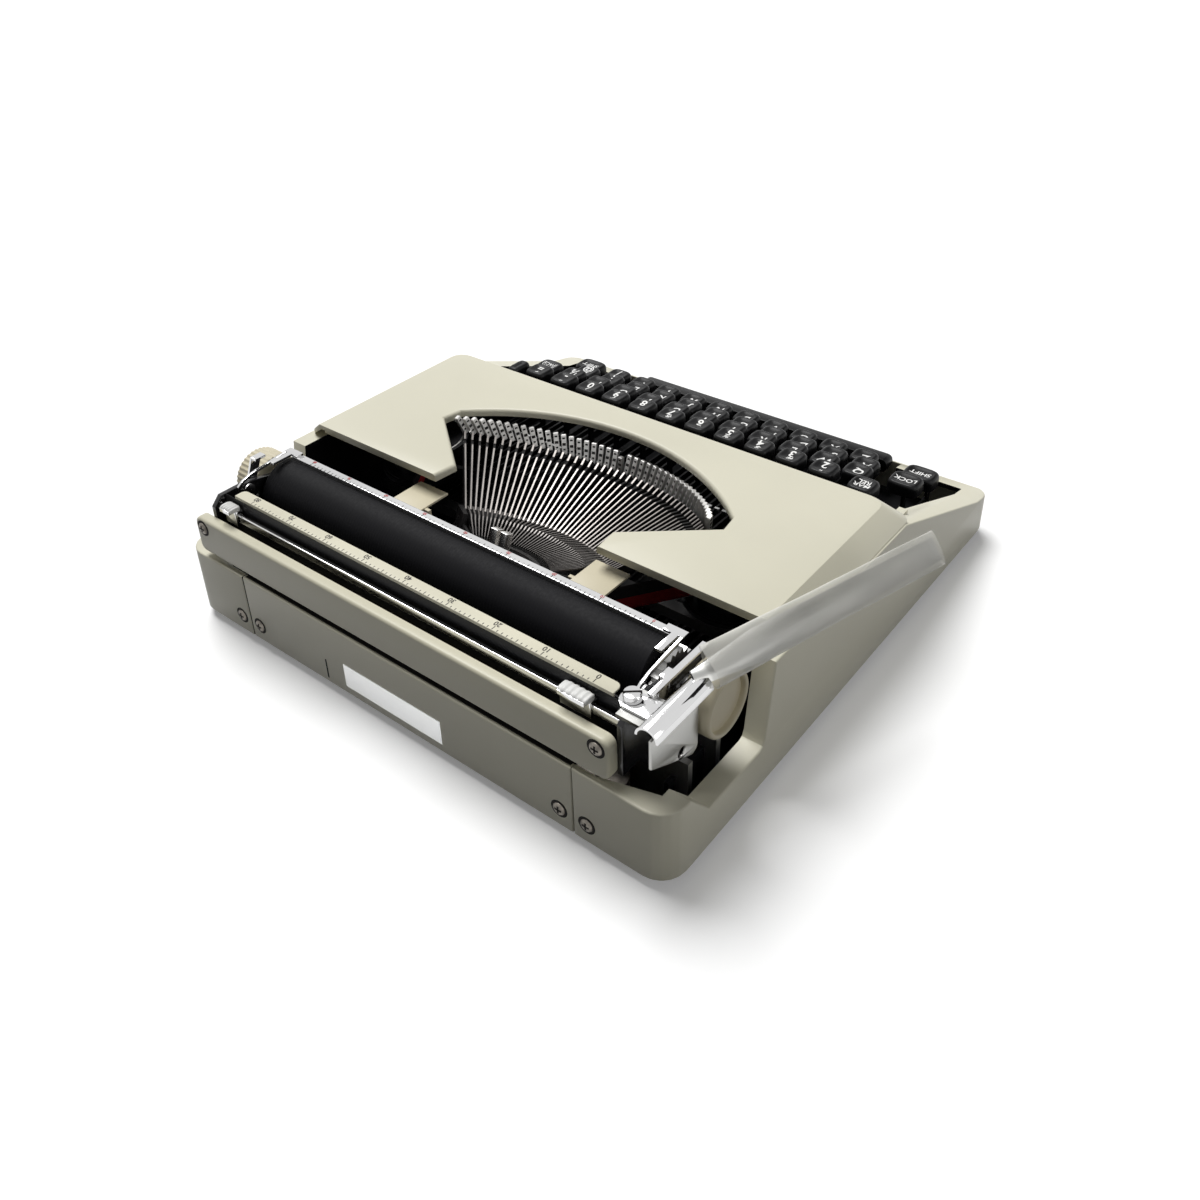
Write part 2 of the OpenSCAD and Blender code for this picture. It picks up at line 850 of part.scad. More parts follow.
module carriage_cover() {
    x0 = -118.8;
    x1 = 131.8;
    h = 19.6;
    t = 2;
    color([0.86, 0.85, 0.77])
        difference() {
            translate([(x0 + x1) / 2, 0, z0 + 38 + h / 2])
                along_y(cover_rear - shell_d, shell_d)
                    polygon(rr(x1 - x0, h, 4));
            translate([(x0 + x1) / 2, 0, z0 + 38 + h / 2])
                along_y(cover_rear - shell_d - 1, shell_d + 1 - t)
                    polygon(rr(x1 - x0 - 2 * t, h - 2 * t, 2.5));
        }
}

module carriage_screws() {
    color([0.75, 0.75, 0.73]) {
        for (x = [-113, 126])
            translate([x, cover_rear, z0 + 52.4])
                rotate([-90, 0, 0])
                    difference() {
                        cylinder(h = 1, r = 3, $fn = 24);
                        translate([-4, -0.4, 0.4])
                            cube([8, 0.8, 1]);
                    }
        // slotted pivot screw of the return lever
        translate([lever_px, lever_py, brack_z + 1.4])
            cylinder(h = 3, r = 2.5);
        translate([lever_px, lever_py, lever_z + 1.5])
            difference() {
                cylinder(h = 3.2, r = 3.6);
                translate([-6, -0.5, 1.8])
                    cube([12, 1, 2]);
            }
    }
}

module paper_table() {
    color([0.82, 0.80, 0.70]) {
        box([-112, platen_y + 27.75, z0 + 68.5], [113, platen_y + 33.75, z0 + 69.5]);
        box([-112, platen_y + 32.75, z0 + 40], [113, platen_y + 33.75, z0 + 69]);
        box([lep_x, platen_y + 32.75, z0 + 42], [rep_x, platen_y + 33.75, z0 + 56]);
    }
}

module margin_rail() {
    color([0.7, 0.7, 0.7])
        box([lep_x, mrail_y, mrail_z], [rep_x, mrail_y + 2, mrail_z + 4]);
}

module margin_stop(x, w) {
    run = 2 * fit;
    color([0.75, 0.75, 0.75])
        difference() {
            union() {
                box([x, mrail_y - 1.15, mrail_z - 1.5], [x + w, mrail_y + 3.3, mrail_z + 6]);
                box([x + 1, mrail_y - 0.8, mrail_z + 5.5], [x + w - 1, mrail_y + 6, mrail_z + 7.5]);
            }
            box([x - 1, mrail_y - run, mrail_z - run], [x + w + 1, mrail_y + 2 + run, mrail_z + 4 + run]);
        }
}

module margin_stop_left() {
    margin_stop(lep_x + 13.5, 15);
}

module margin_stop_right() {
    margin_stop(rep_x - 13, 9);
}

module paper_pan() {
    ri = platen_r + 1;
    ro = ri + 0.8;
    color([0.15, 0.15, 0.15])
        along_x(lep_x, rep_x - lep_x)
            translate([platen_y, platen_z])
                polygon(concat(
                    [for (i = [0:12]) let (a = -100 + 85 * i / 12) [ro * cos(a), ro * sin(a)]],
                    [for (i = [0:12]) let (a = -15 - 85 * i / 12) [ri * cos(a), ri * sin(a)]]
                ));
}

module lever_bracket() {
    x0 = -137.2;
    t = 1.4;
    y0 = platen_y + 15.25;
    y1 = platen_y + 45;
    color([0.85, 0.85, 0.85]) {
        box([x0, platen_y + 25, brack_z], [lep_x, platen_y + 41, brack_z + t]);
        difference() {
            along_x(x0, t)
                polygon([
                    [y0, z0 + 45], [y0 + 1, z0 + 43], [y0 + 3.5, z0 + 42], [y0 + 18, z0 + 49], [y1, z0 + 55.4],
                    [y1, brack_z + t], [y0, brack_z + t]
                ]);
            rod(x0 - 1, x0 + t + 1, y0 + 10.5, z0 + 48.8, 2.4);
        }
    }
}

module platen() {
    color([0.05, 0.05, 0.05])
        difference() {
            rod(platen_x0, platen_x1, platen_y, platen_z, platen_r);
            rod(platen_x0 - 1, platen_x1 + 1, platen_y, platen_z, shaft_r);
        }
}

module platen_shaft() {
    color([0.65, 0.65, 0.65])
        rod(knob_x0 - knob_l + 4, knob_x1 + knob_l - 4, platen_y, platen_z, shaft_r);
}

// a knob from x0 over its length, with a blind bore from xb and a dished outer face at xd
module knob(x0, xb, xd) {
    ribs = 36;
    dish = 2.5;
    color([0.85, 0.83, 0.72])
        difference() {
            along_x(x0, knob_l)
                translate([platen_y, platen_z])
                    polygon([
                        for (i = [0:2 * ribs - 1])
                            let (a = 180 * i / ribs, r = knob_r - (i % 2) * 0.6)
                                [r * cos(a), r * sin(a)]
                    ]);
            rod(xb, xb + knob_l, platen_y, platen_z, shaft_r);
            rod(xd - dish, xd + dish, platen_y, platen_z, knob_r - 2.4);
        }
}

module left_knob() {
    knob(knob_x0 - knob_l, knob_x0 - knob_l + 4, knob_x0 - knob_l);
}

module right_knob() {
    knob(knob_x1, knob_x1 - 4, knob_x1 + knob_l);
}

module line_ratchet() {
    teeth = 22;
    color([0.7, 0.7, 0.7])
        difference() {
            union() {
                along_x(-116, 4)
                    translate([platen_y, platen_z])
                        polygon([
                            for (i = [0:2 * teeth - 1])
                                let (a = 180 * i / teeth, r = i % 2 == 0 ? 13 : 11)
                                    [r * cos(a), r * sin(a)]
                        ]);
                rod(-113, platen_x0, platen_y, platen_z, 8);
            }
            rod(-117, platen_x0 + 1, platen_y, platen_z, shaft_r);
        }
}

module feed_rollers() {
    color([0.08, 0.08, 0.08]) {
        rod(lep_x - plate_t, rep_x + plate_t, feed_y, feed_z, axle_r);
        for (x = [-90, -30, 30, 90])
            rod(x - 12, x + 12, feed_y, feed_z, feed_r);
    }
}

bail_tip = [platen_y - 4.25, z0 + 73];
bail_x0 = lep_x + 6;
bail_x1 = rep_x - 6;
bail_w = 1.3;

module paper_bail() {
    color([0.8, 0.8, 0.8])
        box([bail_x0, bail_tip[0] - 2, bail_tip[1] - 1], [bail_x1, bail_tip[0] + 2, bail_tip[1]]);
}

module bail_arm(x, x_pin, w_pin) {
    t = 1.2;
    route = [
        [bail_y, bail_z], [bail_y + 5.4, bail_z + 2], [bail_y + 5.6, bail_z + 3.8], [bail_y + 2.6, bail_z + 5.9],
        [bail_y - 2.8, bail_z + 7.4], [bail_y - 12, bail_z + 8.2], [bail_tip[0], bail_tip[1] + t / 2]
    ];
    along_x(x, t) {
        translate([bail_y, bail_z])
            circle(r = 3);
        polygon(strip(route, bail_w));
    }
    rod(x_pin, x_pin + w_pin, bail_y, bail_z, pin_r);
}

// flat tab from the arm over the end of the bail, with a finger rest to the rear from xt over wt
module bail_tab(x0, x1, xt, wt) {
    t = 1.2;
    box([x0, bail_tip[0] - 2, bail_tip[1]], [x1, bail_tip[0] + 2, bail_tip[1] + t]);
    box([xt, bail_tip[0] - 2, bail_tip[1]], [xt + wt, bail_tip[0] + 13, bail_tip[1] + t]);
}

module bail_arms() {
    left_x = lep_x + 0.6;
    right_x = rep_x - 1.8;
    tab_w = 3.2;
    color([0.75, 0.75, 0.75]) {
        bail_arm(left_x, lep_x - plate_t, plate_t + 1);
        bail_arm(right_x, rep_x - 1, plate_t + 1);
        bail_tab(left_x, bail_x0 + 4, bail_x0 - tab_w, tab_w);
        bail_tab(bail_x1 - 4, right_x + 1.2, bail_x1, tab_w);
    }
}

module on_lever() {
    translate([lever_root[0], lever_root[1], lever_z + 6])
        rotate([0, 0, -lever_yaw])
            rotate([-lever_pitch, 0, 0])
                rotate([0, lever_lean, 0])
                    children();
}

module return_lever() {
    t = 1.2;
    ch_r = 5;
    ch_x = -135.5;
    color([0.88, 0.88, 0.88]) {
        difference() {
            union() {
                translate([lever_px, lever_py, lever_z])
                    cylinder(h = t, r = 5);
                box([ch_x - 4.6, lever_py - 5, lever_z], [lever_px, lever_py + 5, lever_z + t]);
            }
            translate([lever_px, lever_py, lever_z - 1])
                cylinder(h = t + 2, r = 2.5 + fit);
        }
        difference() {
            translate([ch_x, lever_py - 22, lever_z + 0.6])
                rotate([-90, 0, 0])
                    cylinder(h = 35, r = ch_r);
            translate([ch_x, lever_py - 23, lever_z + 0.6])
                rotate([-90, 0, 0])
                    cylinder(h = 37, r = ch_r - 1);
            translate([ch_x - 10, lever_py - 30, lever_z - 10])
                cube([20, 60, 10.6]);
        }
        on_lever()
            along_x(-0.8, 1.6)
                polygon([
                    [5, -3], [5, 3], [-25, lever_hh], [-lever_len, lever_hh - 1.5], [-lever_len, -lever_hh + 1.5],
                    [-25, -lever_hh]
                ]);
    }
}

module lever_sleeve() {
    t = 0.5;
    w = 4.2;
    h = 2 * lever_hh + 2.2;
    color([0.9, 0.9, 0.88])
        on_lever()
            along_y(-lever_len - sleeve_out, lever_len + sleeve_out - 2.6)
                difference() {
                    polygon(rr(w, h, 2, 4));
                    polygon(rr(w - 2 * t, h - 2 * t, 1.5, 4));
                }
}

module line_selector() {
    t = 1.2;
    x = lep_x - plate_t - gap - t;
    color([0.85, 0.85, 0.85]) {
        along_x(x, t)
            polygon([
                [side_y - 3, side_z - 3], [side_y + 3, side_z - 3], [side_y + 3, side_z + 3],
                [side_y + 1, z0 + 72], [side_y - 5, z0 + 72], [side_y - 5, z0 + 66]
            ]);
        // flat finger bar outside the end plate, on a short bridge
        box([x - 3.7, platen_y - 7.5, z0 + 70.8], [x - 0.9, side_y + 11, z0 + 72]);
        box([x - 3.7, side_y - 5, z0 + 70.8], [x + t, side_y + 1, z0 + 72]);
        rod(x, lep_x - 0.5, side_y, side_z, pin_r);
    }
}

module paper_release() {
    t = 1.2;
    x = rep_x + plate_t + gap;
    color([0.85, 0.85, 0.85]) {
        along_x(x, t)
            polygon([
                [side_y - 3, side_z - 3], [side_y + 3, side_z - 3], [side_y + 3, side_z + 3],
                [side_y - 3, z0 + 77], [side_y - 9, z0 + 77], [side_y - 4, z0 + 66]
            ]);
        box([x - plate_t - 0.4, side_y - 9, z0 + 75.8], [x + t, side_y - 3, z0 + 77]);
        rod(rep_x + 0.5, x + t, side_y, side_z, pin_r);
    }
}

drum_r = 11;
drum_x = -100;
drum_y = platen_y + 27;

module mainspring_drum() {
    color([0.6, 0.6, 0.6])
        translate([drum_x, drum_y, base_z + gap]) {
            cylinder(h = 14, r = drum_r);
            cylinder(h = 15.5, r = 3);
        }
}

placed()
        lower_case();
placed()
        rear_panel();
placed()
        base_plate();
placed()
        feet();
placed()
        case_screws();
placed()
        frame_left();
placed()
        frame_right();
placed()
        front_rail();
placed()
        rear_rail();
placed()
        segment();
placed()
        typebars();
placed()
        type_guide();
placed()
        type_rest();
placed()
        fulcrum_shaft();
placed()
        lever_comb();
placed()
        spool_cups();
placed()
        ribbon_guides();
placed()
        ribbon();
placed()
        hinge_pins();
placed()
        ribbon_cover();
placed()
        carriage_frame();
placed()
        left_end_plate();
placed()
        right_end_plate();
placed()
        carriage_cover();
placed()
        carriage_screws();
placed()
        paper_table();
placed()
        margin_rail();
placed()
        paper_pan();
placed()
        lever_bracket();
placed()
        platen();
placed()
        platen_shaft();
placed()
        left_knob();
placed()
        right_knob();
placed()
        line_ratchet();
placed()
        feed_rollers();
placed()
        paper_bail();
placed()
        bail_arms();
placed()
        return_lever();
placed()
        lever_sleeve();
placed()
        line_selector();
placed()
        paper_release();
placed()
        margin_stop_left();
placed()
        margin_stop_right();
placed()
        spool_left();
placed()
        spool_right();
placed()
        space_bar();
placed()
        keys_number();
placed()
        keys_top();
placed()
        keys_home();
placed()
        keys_bottom();
placed()
        key_centre();
placed()
        typebar_centre();
placed()
        shift_keys();
placed()
        shift_lock();
placed()
        margin_release();
placed()
        back_space();
placed()
        tab_key();
placed()
        mainspring_drum();
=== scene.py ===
import math

import bmesh
import bpy
import numpy as np
from mathutils import Matrix, Vector


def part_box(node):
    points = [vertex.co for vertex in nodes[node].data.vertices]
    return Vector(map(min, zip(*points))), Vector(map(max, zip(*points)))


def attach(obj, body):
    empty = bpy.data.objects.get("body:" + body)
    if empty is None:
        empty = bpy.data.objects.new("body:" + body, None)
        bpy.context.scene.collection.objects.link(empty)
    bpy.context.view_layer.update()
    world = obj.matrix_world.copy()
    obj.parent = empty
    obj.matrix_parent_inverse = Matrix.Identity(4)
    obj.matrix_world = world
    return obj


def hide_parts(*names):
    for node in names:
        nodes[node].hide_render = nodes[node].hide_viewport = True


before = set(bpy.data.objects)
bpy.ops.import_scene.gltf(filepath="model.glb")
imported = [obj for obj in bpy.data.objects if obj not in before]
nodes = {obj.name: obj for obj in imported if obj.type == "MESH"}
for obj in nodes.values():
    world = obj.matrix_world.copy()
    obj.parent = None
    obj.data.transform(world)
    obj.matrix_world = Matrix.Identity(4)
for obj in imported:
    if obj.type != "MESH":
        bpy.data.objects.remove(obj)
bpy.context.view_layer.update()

# Case shell and rear panel: pressed steel under a warm grey-cream enamel, with softly rounded
# edges and black walls inside. The panel closes the back between two seams, held by screws.
MM = 0.001
OX = sum(c[0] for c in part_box("lower_case")) / (2 * MM)
WELD = 2e-6
FLAT_ANGLE = math.radians(1)
ROLL_ANGLE = math.radians(32)
SHARP_ANGLE = 0.3
MOTTLE_DOWN, MOTTLE_UP = 2.2, 1.2
LEAST_ROUGH, BUMP_DEPTH = 0.02, 0.0004
CORNER_X, CORNER_Y, CORNER_R = 134.0, 139.25, 11.5
SIDE_X, END_Y, FOOT_Z = 145.5, 150.9, 20.0
BOSS_X, BOSS_Y, BOSS_LOW, BOSS_HIGH, BOSS_IN = 143.2, 148.0, 6.0, 15.0, 1.1195
LINING_REACH, LINING_Y, LINING_LEAN = 60.0, 148.0, 0.4


def softened(node, width, segments=2, big=(), shift=None):
    """A merged copy of a CAD solid with its sharp edges rolled over to the given width in mm.

    Each pair in big has a radius and a test: the convex edges whose middle, in mm, passes the test are
    rolled first, to that radius. A shift function may move points before that: outward, along and up."""
    bm = bmesh.new()
    bm.from_mesh(nodes[node].data)
    bmesh.ops.remove_doubles(bm, verts=bm.verts, dist=WELD)
    if shift:
        for v in bm.verts:
            x = v.co.x / MM - OX
            out, along, rise = shift(abs(x), v.co.y / MM, v.co.z / MM)
            v.co += Vector((out * math.copysign(1.0, x), along, rise)) * MM
        bmesh.ops.dissolve_degenerate(bm, dist=WELD, edges=bm.edges)
    bmesh.ops.dissolve_limit(bm, angle_limit=FLAT_ANGLE, verts=bm.verts, edges=bm.edges)
    bmesh.ops.recalc_face_normals(bm, faces=bm.faces)
    for radius, test in big:
        chosen = []
        for edge in bm.edges:
            x, y, z = (edge.verts[0].co + edge.verts[1].co) / (2 * MM)
            sharp = len(edge.link_faces) == 2 and edge.calc_face_angle_signed(0.0) > SHARP_ANGLE
            if sharp and test(abs(x - OX), y, z):
                chosen.append(edge)
        bmesh.ops.bevel(bm, geom=chosen, offset=radius * MM, offset_type="OFFSET", segments=4, profile=0.5,
                        affect="EDGES", clamp_overlap=True)
    mesh = bpy.data.meshes.new(node + "_shape")
    bm.to_mesh(mesh)
    bm.free()
    mesh.polygons.foreach_set("use_smooth", [True] * len(mesh.polygons))
    obj = bpy.data.objects.new(node + "_shape", mesh)
    bpy.context.scene.collection.objects.link(obj)
    rolled = obj.modifiers.new("rolled", "BEVEL")
    rolled.width = width * MM
    rolled.segments = segments
    rolled.limit_method = "ANGLE"
    rolled.angle_limit = ROLL_ANGLE
    rolled.use_clamp_overlap = True
    rolled.harden_normals = True
    return obj


def finish(name, colour, rough, metal=0.0, grain=(900.0, 0.06, 0.04), mottle=(14.0, 0.05), gloss=0.35):
    """A coat or metal: large soft mottling of the colour, fine grain in roughness and a slight bump."""
    mat = bpy.data.materials.new(name)
    mat.use_nodes = True
    nt = mat.node_tree
    nt.nodes.clear()
    out = nt.nodes.new("ShaderNodeOutputMaterial")
    bsdf = nt.nodes.new("ShaderNodeBsdfPrincipled")
    nt.links.new(bsdf.outputs[0], out.inputs[0])
    bsdf.inputs["Metallic"].default_value = metal
    bsdf.inputs["Specular IOR Level"].default_value = gloss
    tc = nt.nodes.new("ShaderNodeTexCoord")
    big = nt.nodes.new("ShaderNodeTexNoise")
    big.inputs["Scale"].default_value = mottle[0]
    big.inputs["Detail"].default_value = 4.0
    nt.links.new(tc.outputs["Object"], big.inputs["Vector"])
    ramp = nt.nodes.new("ShaderNodeValToRGB")
    lo = [max(0.0, c * (1 - MOTTLE_DOWN * mottle[1])) for c in colour]
    hi = [min(1.0, c * (1 + MOTTLE_UP * mottle[1])) for c in colour]
    ramp.color_ramp.elements[0].position = 0.3
    ramp.color_ramp.elements[0].color = (*lo, 1)
    ramp.color_ramp.elements[1].position = 0.65
    ramp.color_ramp.elements[1].color = (*hi, 1)
    nt.links.new(big.outputs["Fac"], ramp.inputs["Fac"])
    nt.links.new(ramp.outputs["Color"], bsdf.inputs["Base Color"])
    fine = nt.nodes.new("ShaderNodeTexNoise")
    fine.inputs["Scale"].default_value = grain[0]
    fine.inputs["Detail"].default_value = 3.0
    nt.links.new(tc.outputs["Object"], fine.inputs["Vector"])
    span = nt.nodes.new("ShaderNodeMapRange")
    span.inputs["To Min"].default_value = max(LEAST_ROUGH, rough - grain[1])
    span.inputs["To Max"].default_value = rough + grain[1]
    nt.links.new(fine.outputs["Fac"], span.inputs["Value"])
    nt.links.new(span.outputs["Result"], bsdf.inputs["Roughness"])
    bump = nt.nodes.new("ShaderNodeBump")
    bump.inputs["Strength"].default_value = grain[2]
    bump.inputs["Distance"].default_value = BUMP_DEPTH
    nt.links.new(fine.outputs["Fac"], bump.inputs["Height"])
    nt.links.new(bump.outputs["Normal"], bsdf.inputs["Normal"])
    return mat


def dress(obj, mat, slot, body, *replaced):
    """One finish on a piece, the body it moves with and the solids it stands for; its record slot is not
    used.
    """
    obj.data.materials.clear()
    obj.data.materials.append(mat)
    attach(obj, body)
    if replaced:
        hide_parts(*replaced)


def outer_edge(x, y, z):
    """True for the middle of an edge on the outside of the case, above its foot."""
    rounded = math.hypot(x - CORNER_X, y - CORNER_Y) > CORNER_R
    corner = x > CORNER_X and y > CORNER_Y and rounded
    return z > FOOT_Z and (x > SIDE_X or abs(y) > END_Y or corner)


def boss_corner(x, y, z):
    """The corner of each screw boss is drawn in, so that it stays under the rounded corner of the case."""
    if x > BOSS_X and abs(y) > BOSS_Y and BOSS_LOW < z < BOSS_HIGH:
        return -BOSS_IN, -math.copysign(BOSS_IN, y), 0.0
    return 0.0, 0.0, 0.0


def split_off(obj, name, test):
    """The faces whose centre in mm and normal pass the test, taken off a piece into one of their own."""
    rest, part = bmesh.new(), bmesh.new()
    for mesh, keep in ((rest, False), (part, True)):
        mesh.from_mesh(obj.data)
        gone = []
        for face in mesh.faces:
            x, y, z = face.calc_center_median() / MM
            if bool(test(x - OX, y, z, face.normal)) != keep:
                gone.append(face)
        bmesh.ops.delete(mesh, geom=gone, context="FACES")
    rest.to_mesh(obj.data)
    rest.free()
    mesh = bpy.data.meshes.new(name)
    part.to_mesh(mesh)
    part.free()
    other = bpy.data.objects.new(name, mesh)
    bpy.context.scene.collection.objects.link(other)
    return other


def inner_wall(x, y, z, normal):
    """True for an upright face that looks toward the middle of the case."""
    inward = normal.x * x < -LINING_REACH or (normal.y * y < -LINING_REACH and abs(y) < LINING_Y)
    return inward and abs(normal.z) < LINING_LEAN


enamel = finish("cream_enamel", (0.70, 0.675, 0.54), 0.36, grain=(1600.0, 0.05, 0.10), mottle=(9.0, 0.02))
lacquer = finish("black_lacquer", (0.008, 0.008, 0.009), 0.40, grain=(700.0, 0.08, 0.06), gloss=0.12)
shell = softened("lower_case", 0.8, 3, big=[(2.2, outer_edge)], shift=boss_corner)
lining = split_off(shell, "case_lining", inner_wall)
dress(shell, enamel, "case_paint", "case", "lower_case")
dress(lining, lacquer, "black_paint", "case")
dress(softened("rear_panel", 0.3, big=[(1.0, outer_edge)]), enamel, "case_paint", "case", "rear_panel")

# Label and slit on the rear panel: a bare white foil stuck on it and a narrow cut beside that, the cut
# drawn as a dark strip of painted shade. A dark strip on the flange along the panel's upper edge is
# painted shade for the gap under the carriage cover.
REAR_Y = 151.25
LABEL = (-29.0, REAR_Y - 0.1, 9.5), (32.0, REAR_Y + 0.2, 22.3)
SLIT = (44.4, REAR_Y - 0.2, 7.5), (45.4, REAR_Y + 0.05, 18.4)
FLANGE = (-99.6, 145.9, 39.9), (99.6, 149.9, 40.06)


def metres(points):
    """Points in millimetres from the machine's centre plane, moved to the shared frame in metres."""
    p = np.array(points, float)
    return (p + np.array([OX, 0.0, 0.0])) * MM


def put_mesh(name, verts, faces, smooth=True):
    """A new mesh object at the origin from vertex and face arrays in metres."""
    mesh = bpy.data.meshes.new(name)
    mesh.from_pydata(np.asarray(verts).tolist(), [], [list(map(int, f)) for f in faces])
    bm = bmesh.new()
    bm.from_mesh(mesh)
    bmesh.ops.recalc_face_normals(bm, faces=bm.faces)
    bm.to_mesh(mesh)
    bm.free()
    if smooth:
        mesh.polygons.foreach_set("use_smooth", [True] * len(mesh.polygons))
    obj = bpy.data.objects.new(name, mesh)
    bpy.context.scene.collection.objects.link(obj)
    return obj


def stacked_loops(points):
    """Quads between successive closed loops of an array (piece, loop, around, xyz), both ends filled."""
    pieces, loops, around, _ = points.shape
    start = np.arange(pieces)[:, None, None] * loops * around
    low = start + np.arange(loops - 1)[None, :, None] * around
    a = np.arange(around)
    b = (a + 1) % around
    quads = np.stack([low + a, low + b, low + around + b, low + around + a], -1).reshape(-1, 4)
    first = start[:, 0] + a[::-1]
    last = start[:, 0] + (loops - 1) * around + a
    return points.reshape(-1, 3), quads.tolist() + first.tolist() + last.tolist()


def slabs(lo, hi):
    """Boxes from low and high corners, one pair or arrays of them, each as two stacked square loops."""
    lo, hi = np.atleast_2d(np.asarray(lo, float)), np.atleast_2d(np.asarray(hi, float))
    px = np.stack([lo[:, 0], hi[:, 0], hi[:, 0], lo[:, 0]], 1)
    py = np.stack([lo[:, 1], lo[:, 1], hi[:, 1], hi[:, 1]], 1)
    low = np.stack([px, py, np.repeat(lo[:, 2:3], 4, 1)], -1)
    high = np.stack([px, py, np.repeat(hi[:, 2:3], 4, 1)], -1)
    return stacked_loops(np.stack([low, high], 1))


def made(name, shape, mat, slot, body, *replaced, smooth=False, split=None):
    """A new piece from points in mm and faces, dressed at once; edges sharper than the split stay crisp."""
    obj = put_mesh(name, metres(shape[0]), shape[1], smooth)
    if split:
        obj.modifiers.new("edge", "EDGE_SPLIT").split_angle = math.radians(split)
    dress(obj, mat, slot, body, *replaced)


foil = finish("white_foil", (0.86, 0.87, 0.87), 0.34, 0.85, mottle=(40.0, 0.02))
made("rear_label", slabs(*LABEL), foil, "case_paint", "case")
# A near-black finish for painted shade, laid on strips and rings where openings and slots lie in shade.
dark = finish("painted_recess_shade", (0.012, 0.011, 0.010), 0.7, gloss=0.1)
made("rear_slit", slabs(*SLIT), dark, "black_paint", "case")
made("flange_gap_shade", slabs(*FLANGE), dark, "black_paint", "case")

# Case screws: domed cross-head screws of dull steel on either side of the panel's two seams, their
# crossed slots and the countersinks they sit in drawn as dark strips and rings of painted shade.
HEAD = [[3.0, -0.3], [3.0, 0.2], [2.75, 0.55], [2.0, 0.8], [1.0, 0.92], [0.05, 0.95]]
RECESS = [[4.2, -0.3], [4.2, 0.06], [3.9, 0.12], [0.05, 0.12]]
SLOT_LONG, SLOT_WIDE = 3.4, 0.8
SLOT_FROM, SLOT_TO = 0.5, 1.0
CASE_SCREWS = [(x, REAR_Y, 14.0) for x in (-107.5, -93.7, 93.7, 107.5)]


def joined(*parts):
    """Several vertex and face lists as one."""
    verts, faces, n = [], [], 0
    for v, f in parts:
        verts.append(np.asarray(v, float))
        faces += [[i + n for i in q] for q in f]
        n += len(v)
    return np.concatenate(verts), faces


def turned(profile, centre, axis="z", around=32):
    """Rings swept about an axis through the centre: each profile row is a radius and a place on the axis."""
    t = np.linspace(0, 2 * np.pi, around, endpoint=False)
    prof = np.asarray(profile, float)
    u, v = prof[:, 0:1] * np.cos(t), prof[:, 0:1] * np.sin(t)
    w = np.broadcast_to(prof[:, 1:2], u.shape)
    order = {"z": (u, v, w), "y": (v, w, u), "x": (w, u, v)}[axis]
    return stacked_loops((np.stack(order, -1) + np.asarray(centre, float))[None])


def cross_screws(name, places, body, node):
    """Domed heads on the rear face, with the crossed slots in them and the rings that they sit in as painted
    shade.
    """
    heads, holes = [], []
    for x, y, z in places:
        heads.append(turned(HEAD, (x, y, z), "y", 24))
        holes.append(turned(RECESS, (x, y, z), "y", 24))
        for wide, tall in ((SLOT_LONG, SLOT_WIDE), (SLOT_WIDE, SLOT_LONG)):
            lo = (x - wide / 2, y + SLOT_FROM, z - tall / 2)
            hi = (x + wide / 2, y + SLOT_TO, z + tall / 2)
            holes.append(slabs(lo, hi))
    made(name + "_heads", joined(*heads), dull_steel, "steel", body, node, smooth=True, split=40)
    made(name + "_sinks", joined(*holes), dark, "black_paint", body, smooth=True, split=40)


dull_steel = finish("dull_steel", (0.17, 0.155, 0.135), 0.42, 1.0, grain=(500.0, 0.10, 0.10),
                    mottle=(300.0, 0.25))
cross_screws("case_screw", CASE_SCREWS, "case", "case_screws")

# Base plate, side frames and rails: black-lacquered sheet and bright ground steel, all standing
# on the base plate, with the dull spring drum behind and the rubber feet screwed on from below.
steel = finish("ground_steel", (0.48, 0.48, 0.47), 0.34, 1.0, grain=(500.0, 0.10, 0.05))
soft_rubber = finish("black_rubber", (0.012, 0.012, 0.012), 0.75, grain=(800.0, 0.10, 0.2), gloss=0.12)


def paint_node(node, mat):
    """A CAD solid whose shape is right keeps its mesh and gets its finish."""
    obj = nodes[node]
    obj.data.materials.clear()
    obj.data.materials.append(mat)


for node in ("base_plate", "frame_left", "frame_right", "carriage_frame", "paper_pan"):
    paint_node(node, lacquer)
for node in ("front_rail", "rear_rail", "lever_comb", "fulcrum_shaft", "hinge_pins"):
    paint_node(node, steel)
paint_node("mainspring_drum", dull_steel)
paint_node("feet", soft_rubber)

# Ribbon cover: one pressed lid in the same enamel, with a wide arched opening over the type
# basket, its edge turned down, and two ears on the hinge pins.
LIP_Z, LIP_UP = 67.7, 2.6


def cover_corner(x, y, z):
    """True for the middle of the slanting edge at either front corner of the lid."""
    return 132 < x < 146 and -43 < y < -37 and z > 66


def opening_edge(x, y, z):
    """True for the middle of an upper edge round the arched opening."""
    return z > 74 and x < 130 and -34 < y < 69


def lip_trim(x, y, z):
    """The lower rim of the turned-down lip is drawn up, so that the lip shows as a narrow roll."""
    return 0.0, 0.0, LIP_UP if abs(z - LIP_Z) < 0.06 else 0.0


lid = softened("ribbon_cover", 0.6, 3, big=[(6.0, cover_corner), (1.9, opening_edge)], shift=lip_trim)
dress(lid, enamel, "case_paint", "cover", "ribbon_cover")
